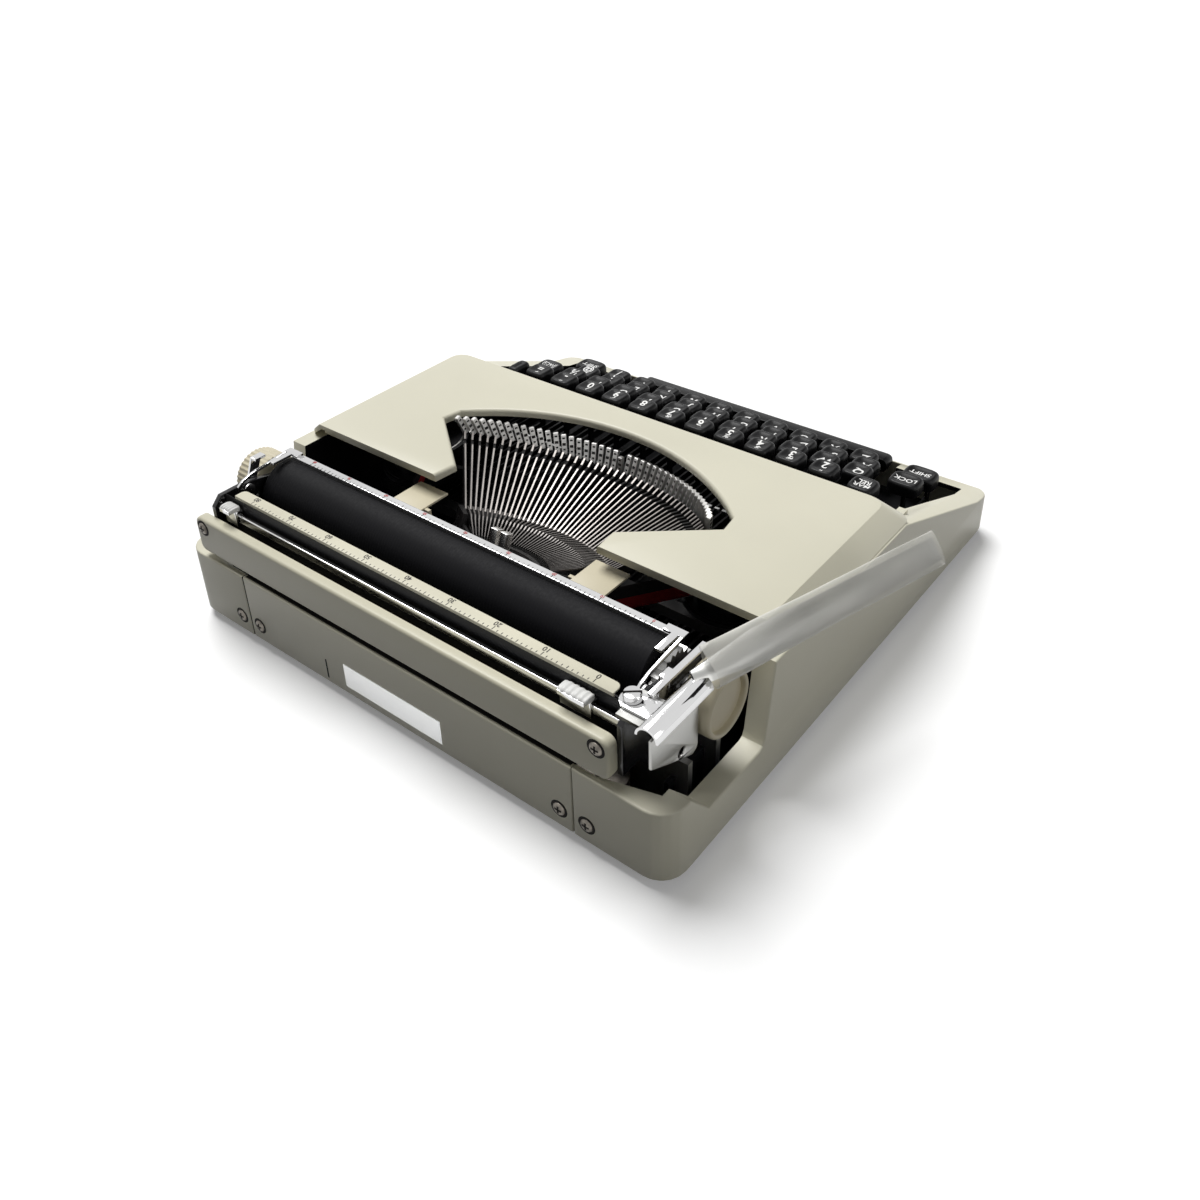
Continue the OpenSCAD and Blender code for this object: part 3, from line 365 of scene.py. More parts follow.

# Type basket: a milled segment whose slots carry 43 typebars, each with a plated slug across its end;
# the bars lie on a black felt arc. The segment, the bars' sides and the slugs' cuts are darkened as
# painted shade; the tops of the fins and of the bars carry painted highlights.
BASKET_TILT = math.radians(22)
PRINT_Y, PRINT_Z = 87.25, 65.0
BAR_ANGLES = np.radians(np.linspace(-52, 52, 43))
BAR_MID = 21
BAR_REST = math.radians(39.6)
BAR_R, BAR_H = 55.1, -7.0
BAR_HALF, EDGE_HALF, END_HALF = 0.6, 0.40, 0.5
STRIKE = math.radians(126)
SLUG_AT = 54.3
BAR_SIDE = [[-3.2, -1.6], [-3.2, 1.6], [-1.5, 2.2], [6, 2.2], [45, 1.3], [48, 0.2], [52.5, 0.9],
            [52.5, -1.5], [6, -2.2], [-1.5, -2.2]]
BAR_TOP = [[4, 2.15], [44.5, 1.25], [44.5, 1.5], [4, 2.4]]
BAR_END = [[48.2, 0.3], [52.4, 0.9], [52.4, 1.2], [48.2, 0.6]]
SLUG_CUTS = np.array([[0.05, 0.15], [0.33, 0.49], [0.72, 0.82]])
CUT_HALF = (0.6, 0.95, 0.75)
FIN_LEVELS = np.array([[59.4, -1.85, 0.46], [46.2, -1.85, 0.35], [44.0, -3.2, 0.30], [31.0, -7.2, 0.08]])


def basket(points):
    """Points in the tilted frame of the type basket, whose origin is the printing point, in mm."""
    c, s = math.cos(BASKET_TILT), math.sin(BASKET_TILT)
    y, z = points[..., 1], points[..., 2]
    return np.stack([points[..., 0], PRINT_Y + y * c - z * s, PRINT_Z + y * s + z * c], -1)


def on_bar(angle, across, along, high):
    """Points in a resting bar's own frame: across it, along it from its pivot, and above its middle line."""
    r = BAR_R + along * math.cos(BAR_REST) - high * math.sin(BAR_REST)
    h = BAR_H + along * math.sin(BAR_REST) + high * math.cos(BAR_REST)
    x = r * np.sin(angle) + across * np.cos(angle)
    return basket(np.stack([x, across * np.sin(angle) - r * np.cos(angle), h], -1))


def bar_prisms(angles, outline, half):
    """The same side outline on every bar, as thick as twice the given half."""
    o = np.asarray(outline, float)
    side = np.array([-half, half])[None, :, None]
    return stacked_loops(on_bar(*np.broadcast_arrays(angles[:, None, None], side, o[:, 0], o[:, 1])))


def laid_back(angles, vector):
    """A direction at the printing point, turned back with each bar through the strike to its rest."""
    er = np.stack([np.sin(angles), -np.cos(angles), 0 * angles], -1)
    et = np.stack([np.cos(angles), np.sin(angles), 0 * angles], -1)
    r, t, h = er @ vector, et @ vector, vector[2]
    back = r * math.cos(STRIKE) + h * math.sin(STRIKE)
    rise = h * math.cos(STRIKE) - r * math.sin(STRIKE)
    return back[:, None] * er + t[:, None] * et + rise[:, None] * np.array([0, 0, 1.0])


def slug_blocks(angles, slope, levels):
    """Blocks across the bar ends: each level is a place along the slug, half a width and half a depth."""
    lean = math.radians(slope)
    c, s = math.cos(lean), math.sin(lean)
    axes = np.array([[1.0, 0, 0], [0, -c, s], [0, s, c]])
    wide, long, deep = (laid_back(angles, v)[:, None, None, :] for v in axes)
    along, w, d = (levels[None, :, None, k, None] for k in range(3))
    cw = np.array([-1, 1, 1, -1.0])[None, None, :, None]
    cd = np.array([-1, -1, 1, 1.0])[None, None, :, None]
    r, h = BAR_R + SLUG_AT * math.cos(BAR_REST), BAR_H + SLUG_AT * math.sin(BAR_REST)
    base = np.stack([r * np.sin(angles), -r * np.cos(angles), h + 0 * angles], -1)[:, None, None, :]
    return stacked_loops(basket(base - along * long + cw * w * wide + cd * d * deep))


def slug_levels(length):
    """A slug from just below its bar to the given length above, with both ends narrowed."""
    return np.array([[-2.0, 1.0, 0.8], [-1.6, 1.3, 1.1], [length - 0.4, 1.3, 1.1], [length, 1.0, 0.8]])


def cut_levels(k, length):
    """Both ends of the k-th engraved cut of a slug, a little deeper than the slug so that it shows."""
    return np.array([[a * length, CUT_HALF[k], 1.14] for a in SLUG_CUTS[k]])


def fin_edges():
    """Painted highlight on the top edges of the segment's fins: rows of levels give a radius, a height and
    half a width.
    """
    a = ((BAR_ANGLES[1:] + BAR_ANGLES[:-1]) / 2)[:, None, None]
    r, h, w = (FIN_LEVELS[None, :, k, None] for k in range(3))
    t = w * np.array([-1, 1, 1, -1.0])
    z = h - np.array([0, 0, 0.8, 0.8])
    x, y, z = np.broadcast_arrays(r * np.sin(a) + t * np.cos(a), t * np.sin(a) - r * np.cos(a), z)
    return stacked_loops(basket(np.stack([x, y, z], -1)))


def type_fan(name, angles, slope, length, body, node):
    """Bars with sides darkened as painted shade, their upper edges and ends lightened as a painted
    highlight, slugs, and engraved cuts darkened as painted shade, for the given bar angles.
    """
    cuts = [slug_blocks(angles, slope, cut_levels(k, length)) for k in range(len(SLUG_CUTS))]
    edges = joined(bar_prisms(angles, BAR_TOP, EDGE_HALF), bar_prisms(angles, BAR_END, END_HALF))
    made(name + "_bars", bar_prisms(angles, BAR_SIDE, BAR_HALF), shaded_steel, "nickel", body, node)
    made(name + "_edges", edges, edge_highlight, "nickel", body)
    made(name + "_slugs", slug_blocks(angles, slope, slug_levels(length)), plated, "nickel", body)
    made(name + "_cuts", joined(*cuts), shaded_steel, "nickel", body)


nickel = finish("bright_nickel", (0.74, 0.73, 0.71), 0.20, 1.0, grain=(420.0, 0.07, 0.04))
# Painted shade: the near-black finish of the bars' sides and of the slugs' cuts.
shaded_steel = finish("painted_shade_steel", (0.014, 0.013, 0.013), 0.45, grain=(600.0, 0.08, 0.05), gloss=0.2)
# Painted shade: the segment darkened as its slots are in shade.
milled = finish("segment_shade_steel", (0.045, 0.044, 0.044), 0.45, 0.8, grain=(500.0, 0.10, 0.05))
rubbed = (420.0, 0.10, 0.04)
# Painted highlight: the lighter nickel on the bars' upper edges and ends.
edge_highlight = finish("painted_highlight_nickel", (0.36, 0.335, 0.315), 0.46, 0.85, grain=rubbed, mottle=(60.0, 0.10))
# Painted highlight: the lighter tops of the segment's fins.
fin_highlight = finish("painted_highlight_fins", (0.24, 0.225, 0.215), 0.46, 0.85, grain=rubbed, mottle=(60.0, 0.10))
plated = finish("plated_slugs", (0.70, 0.69, 0.67), 0.36, 0.85, grain=rubbed, mottle=(90.0, 0.12))
felt = finish("black_felt", (0.008, 0.008, 0.008), 0.95, grain=(2500.0, 0.03, 0.6), gloss=0.05)
paint_node("segment", milled)
made("segment_fins", fin_edges(), fin_highlight, "steel", "case")
type_fan("typebar", np.delete(BAR_ANGLES, BAR_MID), 38.0, 9.0, "case", "typebars")
type_fan("centre_typebar", BAR_ANGLES[BAR_MID:BAR_MID + 1], 54.0, 7.2, "centre_typebar", "typebar_centre")
dress(softened("type_guide", 0.25), nickel, "nickel", "case", "type_guide")
paint_node("type_rest", felt)

# Ribbon: an inked strip, black above and red below, that runs from spool to spool past the
# platen, led by cream moulded guides; the spools are black in shallow cups, each with a bright ring
# on its rim that is a painted highlight.
RIBBON_LOW, RIBBON_HIGH, RIBBON_THICK = 48.3, 61.3, 0.2
RIBBON_TURNS = np.array([[84.6, 45.0], [58.0, 84.0], [50.0, 87.15]])
WAVE_HIGH, WAVE_LONG = 0.12, 9.0
SPOOL_X, SPOOL_Y, SPOOL_Z = 97.0, 31.0, 61.5
SPOOL_EDGE = [[19.0, 0.70], [20.2, 0.85], [20.9, 0.85], [21.0, 0.60],
              [20.9, 0.30], [20.2, 0.35], [19.0, 0.70]]


def ribbon_sheet(rows=9, step=1.5):
    """A strip along the straight runs between its turns, waving a little as a sine along it and across."""
    route = np.concatenate([RIBBON_TURNS * [-1, 1], RIBBON_TURNS[::-1]])
    run = np.concatenate([[0], np.cumsum(np.linalg.norm(np.diff(route, axis=0), axis=1))])
    u = np.linspace(0, run[-1], int(run[-1] / step))
    x, y = np.interp(u, run, route[:, 0]), np.interp(u, run, route[:, 1])
    v = np.linspace(0, 1, rows)
    wave = WAVE_HIGH * np.sin(u / WAVE_LONG)[:, None] * np.sin(np.pi * v)
    z = np.broadcast_to(RIBBON_LOW + (RIBBON_HIGH - RIBBON_LOW) * v, wave.shape)
    p = np.stack([np.broadcast_to(x[:, None], wave.shape), y[:, None] + wave, z], -1)
    n = len(u)
    a = (np.arange(n - 1)[:, None] * rows + np.arange(rows - 1)).ravel()
    return p.reshape(-1, 3), np.stack([a, a + rows, a + rows + 1, a + 1], 1).tolist()


def two_inks():
    """Cloth inked red below its middle line and black above, from the height in object coordinates."""
    mat = finish("inked_ribbon", (0.012, 0.010, 0.010), 0.9, grain=(3000.0, 0.05, 0.4), gloss=0.08)
    nt = mat.node_tree
    bsdf = nt.nodes["Principled BSDF"]
    black = bsdf.inputs["Base Color"].links[0].from_socket
    split = nt.nodes.new("ShaderNodeSeparateXYZ")
    nt.links.new(nt.nodes["Texture Coordinate"].outputs["Object"], split.inputs[0])
    below = nt.nodes.new("ShaderNodeMath")
    below.operation = "LESS_THAN"
    below.inputs[1].default_value = (RIBBON_LOW + RIBBON_HIGH) / 2 * MM
    nt.links.new(split.outputs["Z"], below.inputs[0])
    mix = nt.nodes.new("ShaderNodeMix")
    mix.data_type = "RGBA"
    mix.inputs["B"].default_value = (0.22, 0.012, 0.014, 1)
    nt.links.new(below.outputs[0], mix.inputs["Factor"])
    nt.links.new(black, mix.inputs["A"])
    nt.links.new(mix.outputs["Result"], bsdf.inputs["Base Color"])
    return mat


cream = finish("cream_moulding", (0.66, 0.60, 0.44), 0.42, grain=(900.0, 0.05, 0.05))
gloss_black = finish("black_moulding", (0.007, 0.007, 0.008), 0.30, grain=(900.0, 0.08, 0.05), gloss=0.2)
verts, faces = ribbon_sheet()
strip = put_mesh("inked_strip", metres(verts), faces)
strip.modifiers.new("cloth", "SOLIDIFY").thickness = RIBBON_THICK * MM
dress(strip, two_inks(), "ribbon_cloth", "case", "ribbon")
dress(softened("ribbon_guides", 0.4), cream, "cream_plastic", "case", "ribbon_guides")
for side, sx in (("left", -1), ("right", 1)):
    paint_node("spool_" + side, gloss_black)
    # The bright ring on each spool's rim is a painted highlight.
    ring = turned(SPOOL_EDGE, (sx * SPOOL_X, SPOOL_Y, SPOOL_Z), "z", 64)
    made("spool_rim_highlight_" + side, ring, nickel, "black_plastic", "spool_" + side[0], smooth=True)
paint_node("spool_cups", lacquer)

# Keys: glossy black moulded caps with dished tops and white legends, on flat black levers
# that turn on one shaft across the machine. The caps are pressed onto the lever ends.
CAP_LEVELS = np.array([[0.0, -7.0], [0.0, -2.6], [0.2, -1.5], [0.6, -0.7], [1.15, -0.22], [1.75, -0.04],
                       [2.3, -0.14], [3.1, -0.42], [4.4, -0.78], [5.8, -1.0]])
CAP_WIDE, CAP_DEEP = 14.5, 14.0
LEVER_Y, LEVER_Z = 60.75, 19.5
LEVER_HALF, LEVER_TALL, LEVER_TAIL = 0.6, 2.5, 4.0
STEM_HALF, STEM_UNDER = 2.0, 6.5
KEY_PITCH = 19.05
CENTRE_KEY = 5
UPPER_MARK, LOWER_MARK, LONE_MARK = (5.2, -0.6, 3.0), (7.0, 0.4, -2.0), (7.4, -1.2, 1.4)
WORD_GAP, LEGEND_UP = 1.7, 0.10


def caps(xs, y, top, wide, around=28):
    """Rounded squares stacked by the cap's levels: the square roots of cosine and sine, with their signs."""
    t = np.linspace(0, 2 * np.pi, around, endpoint=False)
    ux = np.sign(np.cos(t)) * np.abs(np.cos(t)) ** 0.5
    uy = np.sign(np.sin(t)) * np.abs(np.sin(t)) ** 0.5
    inset, rise = CAP_LEVELS[:, 0][None, :, None], CAP_LEVELS[:, 1][None, :, None]
    x = np.asarray(xs, float)[:, None, None] + (wide / 2 - inset) * ux
    return stacked_loops(np.stack(np.broadcast_arrays(x, y + (CAP_DEEP / 2 - inset) * uy, top + rise), -1))


def key_levers(xs, y, top):
    """Flat strips from the shaft to the key, and a stem up into each cap."""
    xs = np.asarray(xs, float)
    one = np.ones_like(xs)
    left, right, front = xs - LEVER_HALF, xs + LEVER_HALF, (y - STEM_HALF) * one
    strip_lo = np.stack([left, front, (LEVER_Z - LEVER_TALL) * one], 1)
    strip_hi = np.stack([right, (LEVER_Y + LEVER_TAIL) * one, (LEVER_Z + LEVER_TALL) * one], 1)
    stem_lo = np.stack([left, front, (LEVER_Z + LEVER_TALL - 0.1) * one], 1)
    stem_hi = np.stack([right, (y + STEM_HALF) * one, (top - STEM_UNDER) * one], 1)
    return joined(slabs(strip_lo, strip_hi), slabs(stem_lo, stem_hi))


def lettering(text, size):
    """Flat letters centred on zero, as vertices in mm and faces."""
    font = bpy.data.curves.new("letters", "FONT")
    font.body, font.size, font.resolution_u = text, size, 4
    font.offset = 0.018 * size
    font.align_x, font.align_y = "CENTER", "CENTER"
    obj = bpy.data.objects.new("letters", font)
    bpy.context.scene.collection.objects.link(obj)
    mesh = bpy.data.meshes.new_from_object(obj.evaluated_get(bpy.context.evaluated_depsgraph_get()))
    v = np.empty(len(mesh.vertices) * 3)
    mesh.vertices.foreach_get("co", v)
    faces = [list(p.vertices) for p in mesh.polygons]
    bpy.data.objects.remove(obj)
    bpy.data.curves.remove(font)
    bpy.data.meshes.remove(mesh)
    return v.reshape(-1, 3), faces


def legend(text, size, x, y, top, wide, du, dv):
    """Letters laid into the dish of a cap: their height follows how far in from the edge they are."""
    v, f = lettering(text, size)
    v = v + np.array([du, dv, 0.0])
    rho = (np.abs(v[:, 0] / (wide / 2)) ** 4 + np.abs(v[:, 1] / (CAP_DEEP / 2)) ** 4) ** 0.25
    v[:, 2] = np.interp((1 - rho) * wide / 2, CAP_LEVELS[:, 0], CAP_LEVELS[:, 1]) + LEGEND_UP + top
    return v + np.array([x, y, 0.0]), f


ROWS = {
    "number": (-71.25, 58.0, -85.4, ['2"', "3#", "4$", "5%", "6_", "7&", "8'", "9(", "0)", "-*", "=+"]),
    "top": (-90.55, 50.3, -94.9, ["Q", "W", "E", "R", "T", "Y", "U", "I", "O", "P", "½¼"]),
    "home": (-109.85, 42.6, -90.1, ["A", "S", "D", "F", "G", "H", "J", "K", "L", ";:", "@¢"]),
    "bottom": (-129.15, 34.9, -80.6, ["Z", "X", "C", "V", "B", "N", "M", ",", ".", "/?"]),
}
white_fill = finish("white_legend", (0.93, 0.93, 0.91), 0.5)
key_black = finish("key_black", (0.005, 0.005, 0.0055), 0.34, grain=(900.0, 0.08, 0.05), gloss=0.16)


def mark_lines(mark):
    """The lines of a key's legend, each with its size and its place across and up the cap."""
    if isinstance(mark, tuple):
        places = (0.0,) if len(mark) == 1 else (WORD_GAP, -WORD_GAP)
        return [(word, size, 0.0, dv) for (word, size), dv in zip(mark, places)]
    if len(mark) == 2:
        return [(mark[1], *UPPER_MARK), (mark[0], *LOWER_MARK)]
    return [(mark, *LONE_MARK)]


def key_group(name, body, node, xs, y, top, marks, wide=CAP_WIDE, lever_xs=None):
    """One group of keys that moves together: caps and levers in one piece, legends in another."""
    shape = joined(caps(xs, y, top, wide), key_levers(lever_xs or xs, y, top))
    made(name, shape, key_black, "black_plastic", body, node, smooth=True, split=40)
    words = []
    for x, mark in zip(xs, marks):
        for text, size, du, dv in mark_lines(mark):
            words.append(legend(text, size, x, y, top, wide, du, dv))
    if words:
        made(name + "_legends", joined(*words), white_fill, "black_plastic", body)


for row, (y, top, x0, marks) in ROWS.items():
    xs = [x0 + KEY_PITCH * i for i in range(len(marks))]
    if row == "home":
        x, mark = xs.pop(CENTRE_KEY), marks.pop(CENTRE_KEY)
        key_group("centre_key_piece", "centre_key", "key_centre", [x], y, top, [mark])
    key_group(row + "_row_keys", row + "_row", "keys_" + row, xs, y, top, marks)
key_group("margin_key", "margin_rel", "margin_release", [-108.7], -68.25, 58.0,
          [(("MAR", 4.4), ("REL", 4.4))])
key_group("lock_key", "lock", "shift_lock", [-114.5], -107.85, 42.6,
          [(("LOCK", 4.6),)], 17.0)
key_group("backspace_key", "backspace", "back_space", [114.65], -90.55, 50.3,
          [(("BACK", 3.7), ("SPACE", 3.7))], 15.5)
key_group("tab_key_piece", "tabulator", "tab_key", [119.3], -68.25, 58.0,
          [()], 8.0, [121.8])
key_group("shift_key_pair", "shift", "shift_keys", [-113.5, 113.5], -130.15, 34.9,
          [(("SHIFT", 4.6),)] * 2, 18.5, [-118.6, 118.6])
dress(softened("space_bar", 0.9, 3), key_black, "black_plastic", "space", "space_bar")

# Carriage: glossy black end plates, an enamelled cover along the back held by two screws, and
# the paper table, whose upper edge carries a printed scale of eighty spaces.
TEN = 25.4
SPACES = 80
SCALE_X = -102.3
MARK_HALF, MARK_SUNK, MARK_UP, NUMBER_UP = 0.19, 0.05, 0.03, 0.04
TABLE_Y, TABLE_Z = 138.5, 74.5
TABLE_BACK = (-118.2, TABLE_Y - 0.1, 45.2), (120.7, TABLE_Y + 0.06, 72.9)
COVER_SCREWS = [(x, 150.75, 57.4) for x in (-113.0, 126.0)]


def ticks(edge, z, lengths):
    """Marks at every space, from an edge line forward: longest at tens, then at fives, shortest between."""
    n = np.arange(SPACES + 1)
    long = np.where(n % 10 == 0, lengths[0], np.where(n % 5 == 0, lengths[1], lengths[2]))
    x = SCALE_X + n * TEN / 10
    lo = np.stack([x - MARK_HALF, edge - long, 0 * x + z - MARK_SUNK], 1)
    hi = np.stack([x + MARK_HALF, 0 * x + edge, 0 * x + z + MARK_UP], 1)
    return slabs(lo, hi)


def numerals(size, y, z):
    """The tens from nought, each centred on its mark, laid flat to be read from the keyboard."""
    parts = []
    for n in range(0, SPACES + 1, 10):
        v, f = lettering(str(n), size)
        parts.append((v + np.array([SCALE_X + n * TEN / 10, y, z + NUMBER_UP]), f))
    return joined(*parts)


def table_end(x, y, z):
    """True for the middle of the upright corner edges of the paper table's strip."""
    return x > 111 and 73.6 < z < 74.4


def cover_back(x, y, z):
    """True for the middle of an edge on the outer face of the carriage cover."""
    return y > 150.6


end_black = finish("end_plate_black", (0.006, 0.006, 0.007), 0.22, grain=(700.0, 0.06, 0.05), gloss=0.45)
table_cream = finish("table_cream", (0.71, 0.68, 0.54), 0.42, grain=(900.0, 0.05, 0.05))
print_grey = finish("printed_grey", (0.03, 0.027, 0.024), 0.6)
for node in ("left_end_plate", "right_end_plate"):
    dress(softened(node, 0.5), end_black, "black_paint", "carriage", node)
# A darker, slightly yellower copy of the cream enamel for the carriage cover.
cover_enamel_darker = finish("darker_enamel", (0.60, 0.575, 0.445), 0.36, grain=(1600.0, 0.05, 0.10),
                     mottle=(9.0, 0.03))
back_cover = softened("carriage_cover", 0.6, 3, big=[(1.6, cover_back)])
dress(back_cover, cover_enamel_darker, "case_paint", "carriage", "carriage_cover")
table = softened("paper_table", 0.25, big=[(2.6, table_end)])
dress(table, table_cream, "case_paint", "carriage", "paper_table")
scale = joined(ticks(TABLE_Y - 0.3, TABLE_Z, (2.2, 1.6, 1.1)), numerals(3.5, TABLE_Y - 4.1, TABLE_Z))
made("table_scale", scale, print_grey, "case_paint", "carriage")
made("table_back", slabs(*TABLE_BACK), lacquer, "black_paint", "carriage")
cross_screws("carriage_cover_screw", COVER_SCREWS, "carriage", "carriage_screws")

# Margin rail and stops: a bright rail above the cover, and two plated stops that slide along it,
# each with a ribbed white tab for the finger.
STOPS = ("left", -104.5, -90.5), ("right", 108.5, 116.5)
TAB_Y, TAB_Z = (139.4, 145.8), (69.0, 71.4)
TAB_RIBS = 5
RIB_HIGH, TAB_ROUND = 0.28, 1.2
chrome = finish("bright_chrome", (0.68, 0.68, 0.68), 0.07, 1.0, grain=(300.0, 0.04, 0.01))
tab_white = finish("stop_white", (0.80, 0.80, 0.78), 0.35, grain=(600.0, 0.05, 0.05))
dress(softened("margin_rail", 0.3), chrome, "steel", "carriage", "margin_rail")


def ribbed_tab(x0, x1):
    """A block with rounded ends and cross ribs on top: its height swings as a cosine along its length."""
    (y0, y1), (z0, z1) = TAB_Y, TAB_Z
    x = np.linspace(x0, x1, 8 * TAB_RIBS)
    end = np.minimum(1.0, np.minimum(x - x0, x1 - x) / TAB_ROUND)
    round_end = np.sqrt(np.clip(1 - (1 - end) ** 2, 0, 1))
    ribs = RIB_HIGH * np.cos(2 * np.pi * TAB_RIBS * (x - x0) / (x1 - x0))
    tall = (z1 - z0) * (0.55 + 0.45 * round_end) + ribs
    mid, half = (y0 + y1) / 2, (y1 - y0) / 2 * (0.7 + 0.3 * round_end)
    u = np.array([-1.0, -1.0, -0.72, -0.35, 0.35, 0.72, 1.0, 1.0])
    v = np.array([0.0, 0.62, 0.92, 1.0, 1.0, 0.92, 0.62, 0.0])
    loops = np.broadcast_arrays(x[:, None], mid + half[:, None] * u, z0 + tall[:, None] * v)
    return stacked_loops(np.stack(loops, -1)[None])


for side, x0, x1 in STOPS:
    stop = "margin_stop_" + side
    dress(softened(stop, 0.4), chrome, "nickel", "stop_" + side, stop)
    made("margin_tab_" + side, ribbed_tab(x0, x1), tab_white, "cream_plastic", "stop_" + side, smooth=True)

# Bail, line selector and paper release: bright pressings with eased edges, and the black bracket
# of the return lever. The bail is a flat strip with a scale of black marks and small red tens.
BAIL_Y, BAIL_Z = 100.5, 78.0
BRACKET_PLATE_X = -131.5
for node, body in (("line_selector", "selector"), ("paper_release", "release"), ("bail_arms", "bail"),
                   ("paper_bail", "bail")):
    dress(softened(node, 0.3), chrome, "nickel", body, node)
satin = finish("satin_steel", (0.40, 0.40, 0.385), 0.34, 1.0, grain=(300.0, 0.06, 0.02))
bracket = softened("lever_bracket", 0.5)
inner = split_off(bracket, "bracket_body", lambda x, y, z, normal: x > BRACKET_PLATE_X)
dress(bracket, satin, "nickel", "carriage", "lever_bracket")
dress(inner, end_black, "black_paint", "carriage")
red_ink = finish("red_ink", (0.45, 0.03, 0.03), 0.6)
made("bail_marks", ticks(BAIL_Y + 2.2, BAIL_Z, (2.4, 2.0, 1.5)), print_grey, "nickel", "bail")
made("bail_tens", numerals(2.1, BAIL_Y - 0.9, BAIL_Z), red_ink, "nickel", "bail")

# Platen: a black rubber roller with fine turned rings, on a steel shaft, with the line ratchet
# at its left end, a smooth dished knob on the left and a ribbed one on the right.
PLATEN_AXIS = (0.0, 104.75, 59.5)
PLATEN_R, BORE_R = 16.5, 4.05
PLATEN_FROM, PLATEN_TO = -110.0, 118.0
RING_DEEP, RING_PITCH = 0.03, 1.6
KNOB = [[BORE_R, -127.0], [13.9, -127.0], [14.25, -127.15], [14.4, -127.5], [14.4, -139.2], [14.25, -140.1],
        [13.8, -140.75], [13.1, -141.0], [12.5, -140.9], [12.15, -140.5], [12.0, -139.9], [11.8, -138.55],
        [0.05, -138.5]]
roller = finish("platen_rubber", (0.004, 0.004, 0.005), 0.55, grain=(600.0, 0.10, 0.10), gloss=0.09)
x = np.linspace(PLATEN_FROM, PLATEN_TO, 685)
ring = PLATEN_R - RING_DEEP + RING_DEEP * np.cos(2 * np.pi * (x - PLATEN_FROM) / RING_PITCH)
ringed = np.concatenate([[[BORE_R, PLATEN_FROM]], np.stack([ring, x], 1), [[BORE_R, PLATEN_TO]]])
made("roller", turned(ringed, PLATEN_AXIS, "x", 64), roller, "platen_rubber", "platen", "platen",
     smooth=True)
for node in ("platen_shaft", "line_ratchet"):
    paint_node(node, steel)
made("smooth_knob", turned(KNOB, PLATEN_AXIS, "x", 72), cream, "cream_plastic", "platen", "left_knob",
     smooth=True, split=50)
dress(softened("right_knob", 0.35), cream, "cream_plastic", "platen", "right_knob")
paint_node("feed_rollers", soft_rubber)

# Return lever: a chromed channel and blade that turn on a cheese-head screw, the blade still in
# the clear plastic tube that guards it, creased and open at both ends.
LEVER_ROOT = np.array([-136.0, 115.4, 80.3])
LEVER_TURNS = [math.radians(a) for a in (38.0, 3.2, 18.75)]
BLADE_Y = 112.0
TUBE_FROM, TUBE_TO = 2.6, 120.5
PIVOT = np.array([-120.0, 137.4, 0.0])
PIVOT_HEAD = [[2.5, 73.9], [2.5, 75.6], [3.6, 75.8], [3.6, 78.3], [3.3, 78.8], [2.6, 79.0], [0.05, 79.05]]
PIVOT_SLOT = (-3.5, -0.45, 78.2), (3.5, 0.45, 79.12)
SLOT_TURN = math.radians(39)


def on_lever(points):
    """Points in the blade's own frame, leaned about its length, dipped and swung out to their rest."""
    x, y, z = points[..., 0], points[..., 1], points[..., 2]
    lean, dip, swing = LEVER_TURNS
    x, z = x * math.cos(lean) + z * math.sin(lean), z * math.cos(lean) - x * math.sin(lean)
    y, z = y * math.cos(dip) + z * math.sin(dip), z * math.cos(dip) - y * math.sin(dip)
    x, y = x * math.cos(swing) + y * math.sin(swing), y * math.cos(swing) - x * math.sin(swing)
    return np.stack([x, y, z], -1) + LEVER_ROOT


def creased_tube(along=110, around=44):
    """Flat ovals along the blade, gaping at the mouth and flat at the tip, with two waves of creases."""
    u = np.linspace(0, 1, along)[:, None]
    t = np.linspace(0, 2 * np.pi, around, endpoint=False)
    tall = 8.4 - 1.0 * u ** 0.7 + 0.25 * np.sin(9 * u)
    thick = 1.25 + 1.9 * (1 - u) ** 2 + 0.35 * np.sin(np.pi * u)
    crease = 0.16 * np.sin(9 * u + 2 * t) + 0.05 * np.sin(23 * u - 3 * t)
    x = (thick + crease) * np.sign(np.cos(t)) * np.abs(np.cos(t)) ** 0.8
    z = 1.1 * (1 - u) + (tall + crease) * np.sin(t)
    y = np.broadcast_to(-TUBE_FROM - (TUBE_TO - TUBE_FROM) * u - 0.6 * np.sin(2 * t) * (1 - u), x.shape)
    p = on_lever(np.stack([x, y, z], -1))
    a = (np.arange(along - 1)[:, None] * around + np.arange(around)).ravel()
    b = (np.arange(along - 1)[:, None] * around + (np.arange(around) + 1) % around).ravel()
    return p.reshape(-1, 3), np.stack([a, b, b + around, a + around], 1).tolist()


